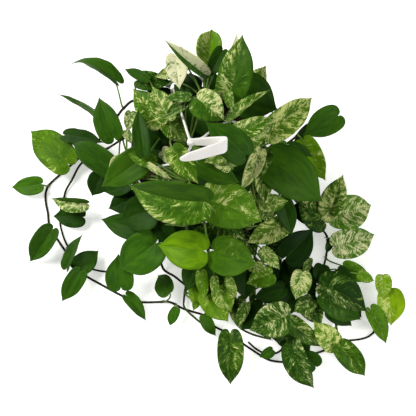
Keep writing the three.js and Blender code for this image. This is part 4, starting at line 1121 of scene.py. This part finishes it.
def rod_mesh(path, radii, sides):
    vertices, faces, rings = [], [], []
    for ring in tube_rings(path, radii, sides):
        rings.append(range(len(vertices), len(vertices) + sides))
        vertices += [p * MM for p in ring]
    for low, high in zip(rings, rings[1:]):
        faces += ring_faces(low, high)
    faces.append(list(rings[0])[::-1])
    faces.append(list(rings[-1]))
    return vertices, faces


def clip_mesh(angle):
    # An upside-down U that straddles the rim, with softened corners.
    outer = RIM_RADIUS + CLIP_GAP + CLIP_WALL
    inner = RIM_INNER - CLIP_GAP - CLIP_WALL
    top = RIM_TOP + CLIP_GAP + CLIP_WALL
    foot = RIM_TOP - CLIP_DROP
    roof = RIM_TOP + CLIP_GAP
    wall_in, wall_out = inner + CLIP_WALL, outer - CLIP_WALL
    profile = [
        (inner + 0.5, foot), (inner, foot + 0.5), (inner, top - 1), (inner + 1, top),
        (outer - 1, top), (outer, top - 1), (outer, foot + 0.5), (outer - 0.5, foot),
        (wall_out + 0.4, foot), (wall_out, foot + 0.5), (wall_out, roof - 0.5), (wall_out - 0.5, roof),
        (wall_in + 0.5, roof), (wall_in, roof - 0.5), (wall_in, foot + 0.5), (wall_in - 0.4, foot),
    ]
    inner_leg = [15, 0, 1, 2, 13, 14]
    cross_piece = [2, 3, 4, 5, 10, 11, 12, 13]
    outer_leg = [5, 6, 7, 8, 9, 10]
    a = math.radians(angle)
    radial, across = Vector((math.cos(a), math.sin(a), 0)), Vector((-math.sin(a), math.cos(a), 0))
    vertices = []
    for y in (-CLIP_WIDTH / 2, CLIP_WIDTH / 2):
        vertices += [(radial * r + across * y + Vector((0, 0, z))) * MM for r, z in profile]
    count = len(profile)
    faces = ring_faces(range(count), range(count, 2 * count))
    for part in (inner_leg, cross_piece, outer_leg):
        faces.append(part[::-1])
        faces.append([j + count for j in part])
    return vertices, faces


def joined(*meshes):
    vertices, faces = [], []
    for more_vertices, more_faces in meshes:
        start = len(vertices)
        vertices += more_vertices
        faces += [[start + v for v in face] for face in more_faces]
    return vertices, faces


hub_path = [HUB_FOOT + HUB_RISE * t for t in HUB_RADII]
hub_mesh = rod_mesh(hub_path, list(HUB_RADII.values()), HUB_SIDES)
hook = build_mesh("hanger_strap_hook", *joined(strap_mesh(), hub_mesh), [white_plastic])
mark_edges(hook, 40)
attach(hook, "root")
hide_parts("hanger_hook")

for name, (angle, middle) in STRANDS.items():
    a = math.radians(angle)
    r = (RIM_RADIUS + RIM_INNER) / 2
    foot = Vector((r * math.cos(a), r * math.sin(a), RIM_TOP + CLIP_GAP + 1))
    points = [Vector(p) for p in middle] + [foot + Vector((0, 0, STRAND_RISE)), foot]
    leave = (points[0] - HUB).normalized()
    points.insert(0, HUB + Vector((0, 0, -2)) + leave * STRAND_START)
    path = spline(points, 6)
    radii = [STRAND_RADIUS * (1 + 0.25 * math.exp(-k / 2)) for k in range(len(path))]
    rod = rod_mesh(path, radii, STRAND_SIDES)
    strand = build_mesh(name + "_rod", *joined(rod, clip_mesh(angle)), [white_plastic])
    mark_edges(strand, 40)
    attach(strand, "root")
    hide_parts(name)

# Studio: a plain pale table top, a big soft lamp from the back left, a weaker one from the front
# right, and the photograph's high viewpoint. Lengths are in metres here.
TABLE_REACH = 6
PLANT_MIDDLE = (0, -0.08, 0.1)
floor_vertices = [
    Vector((x, y, 0)) * TABLE_REACH for x, y in ((-1, -1), (1, -1), (1, 1), (-1, 1))
]
floor_material, floor_tree, floor_shader = new_material(
    "pale_table", Roughness=0.85, Specular_IOR_Level=0.2
)
speckle = add_node(floor_tree, "ShaderNodeTexNoise", {"Scale": 60, "Detail": 3})
floor_colour = blend_colour(floor_tree, speckle.outputs[0], (0.9, 0.9, 0.88, 1), (0.94, 0.94, 0.925, 1))
floor_tree.links.new(floor_colour, floor_shader.inputs["Base Color"])
floor_tree.links.new(floor_colour, floor_shader.inputs["Emission Color"])
floor_shader.inputs["Emission Strength"].default_value = 0.55
floor = build_mesh("table_top", floor_vertices, [[0, 1, 2, 3]], [floor_material])


def add_lamp(name, place, size, power, colour):
    data = bpy.data.lights.new(name, "AREA")
    data.shape = "DISK"
    data.size = size
    data.energy = power
    data.color = colour
    lamp = bpy.data.objects.new(name, data)
    lamp.location = place
    lamp.rotation_mode = "QUATERNION"
    lamp.rotation_quaternion = (Vector(PLANT_MIDDLE) - Vector(place)).to_track_quat("-Z", "Y")
    bpy.context.scene.collection.objects.link(lamp)


add_lamp("window_lamp", (-1.5, 0.55, 1.9), 1.3, 66, (1, 0.99, 0.965))
add_lamp("fill_lamp", (1.5, -1.1, 1.7), 1.6, 34, (1, 0.995, 0.98))
world = bpy.data.worlds.new("soft_room")
world.use_nodes = True
sky = world.node_tree.nodes["Background"].inputs
sky["Color"].default_value = (0.95, 0.97, 1, 1)
sky["Strength"].default_value = 0.14
bpy.context.scene.world = world
bpy.context.scene.view_settings.view_transform = "Standard"

CAMERA_AIM = Vector((0.019, -0.097, 0.1))
CAMERA_DISTANCE = 1.3
CAMERA_ELEVATION = math.radians(75)
FOCAL_PIXELS = 660
PICTURE_PIXELS = 416
SENSOR_WIDTH = 36
camera_data = bpy.data.cameras.new("photo_camera")
camera_data.sensor_width = SENSOR_WIDTH
camera_data.lens = SENSOR_WIDTH * FOCAL_PIXELS / PICTURE_PIXELS
camera_data.clip_end = 30
camera = bpy.data.objects.new("photo_camera", camera_data)
camera_back = Vector((0, -math.cos(CAMERA_ELEVATION), math.sin(CAMERA_ELEVATION)))
camera.location = CAMERA_AIM + camera_back * CAMERA_DISTANCE
camera.rotation_mode = "QUATERNION"
camera.rotation_quaternion = (-camera_back).to_track_quat("-Z", "Y")
bpy.context.scene.collection.objects.link(camera)
bpy.context.scene.camera = camera
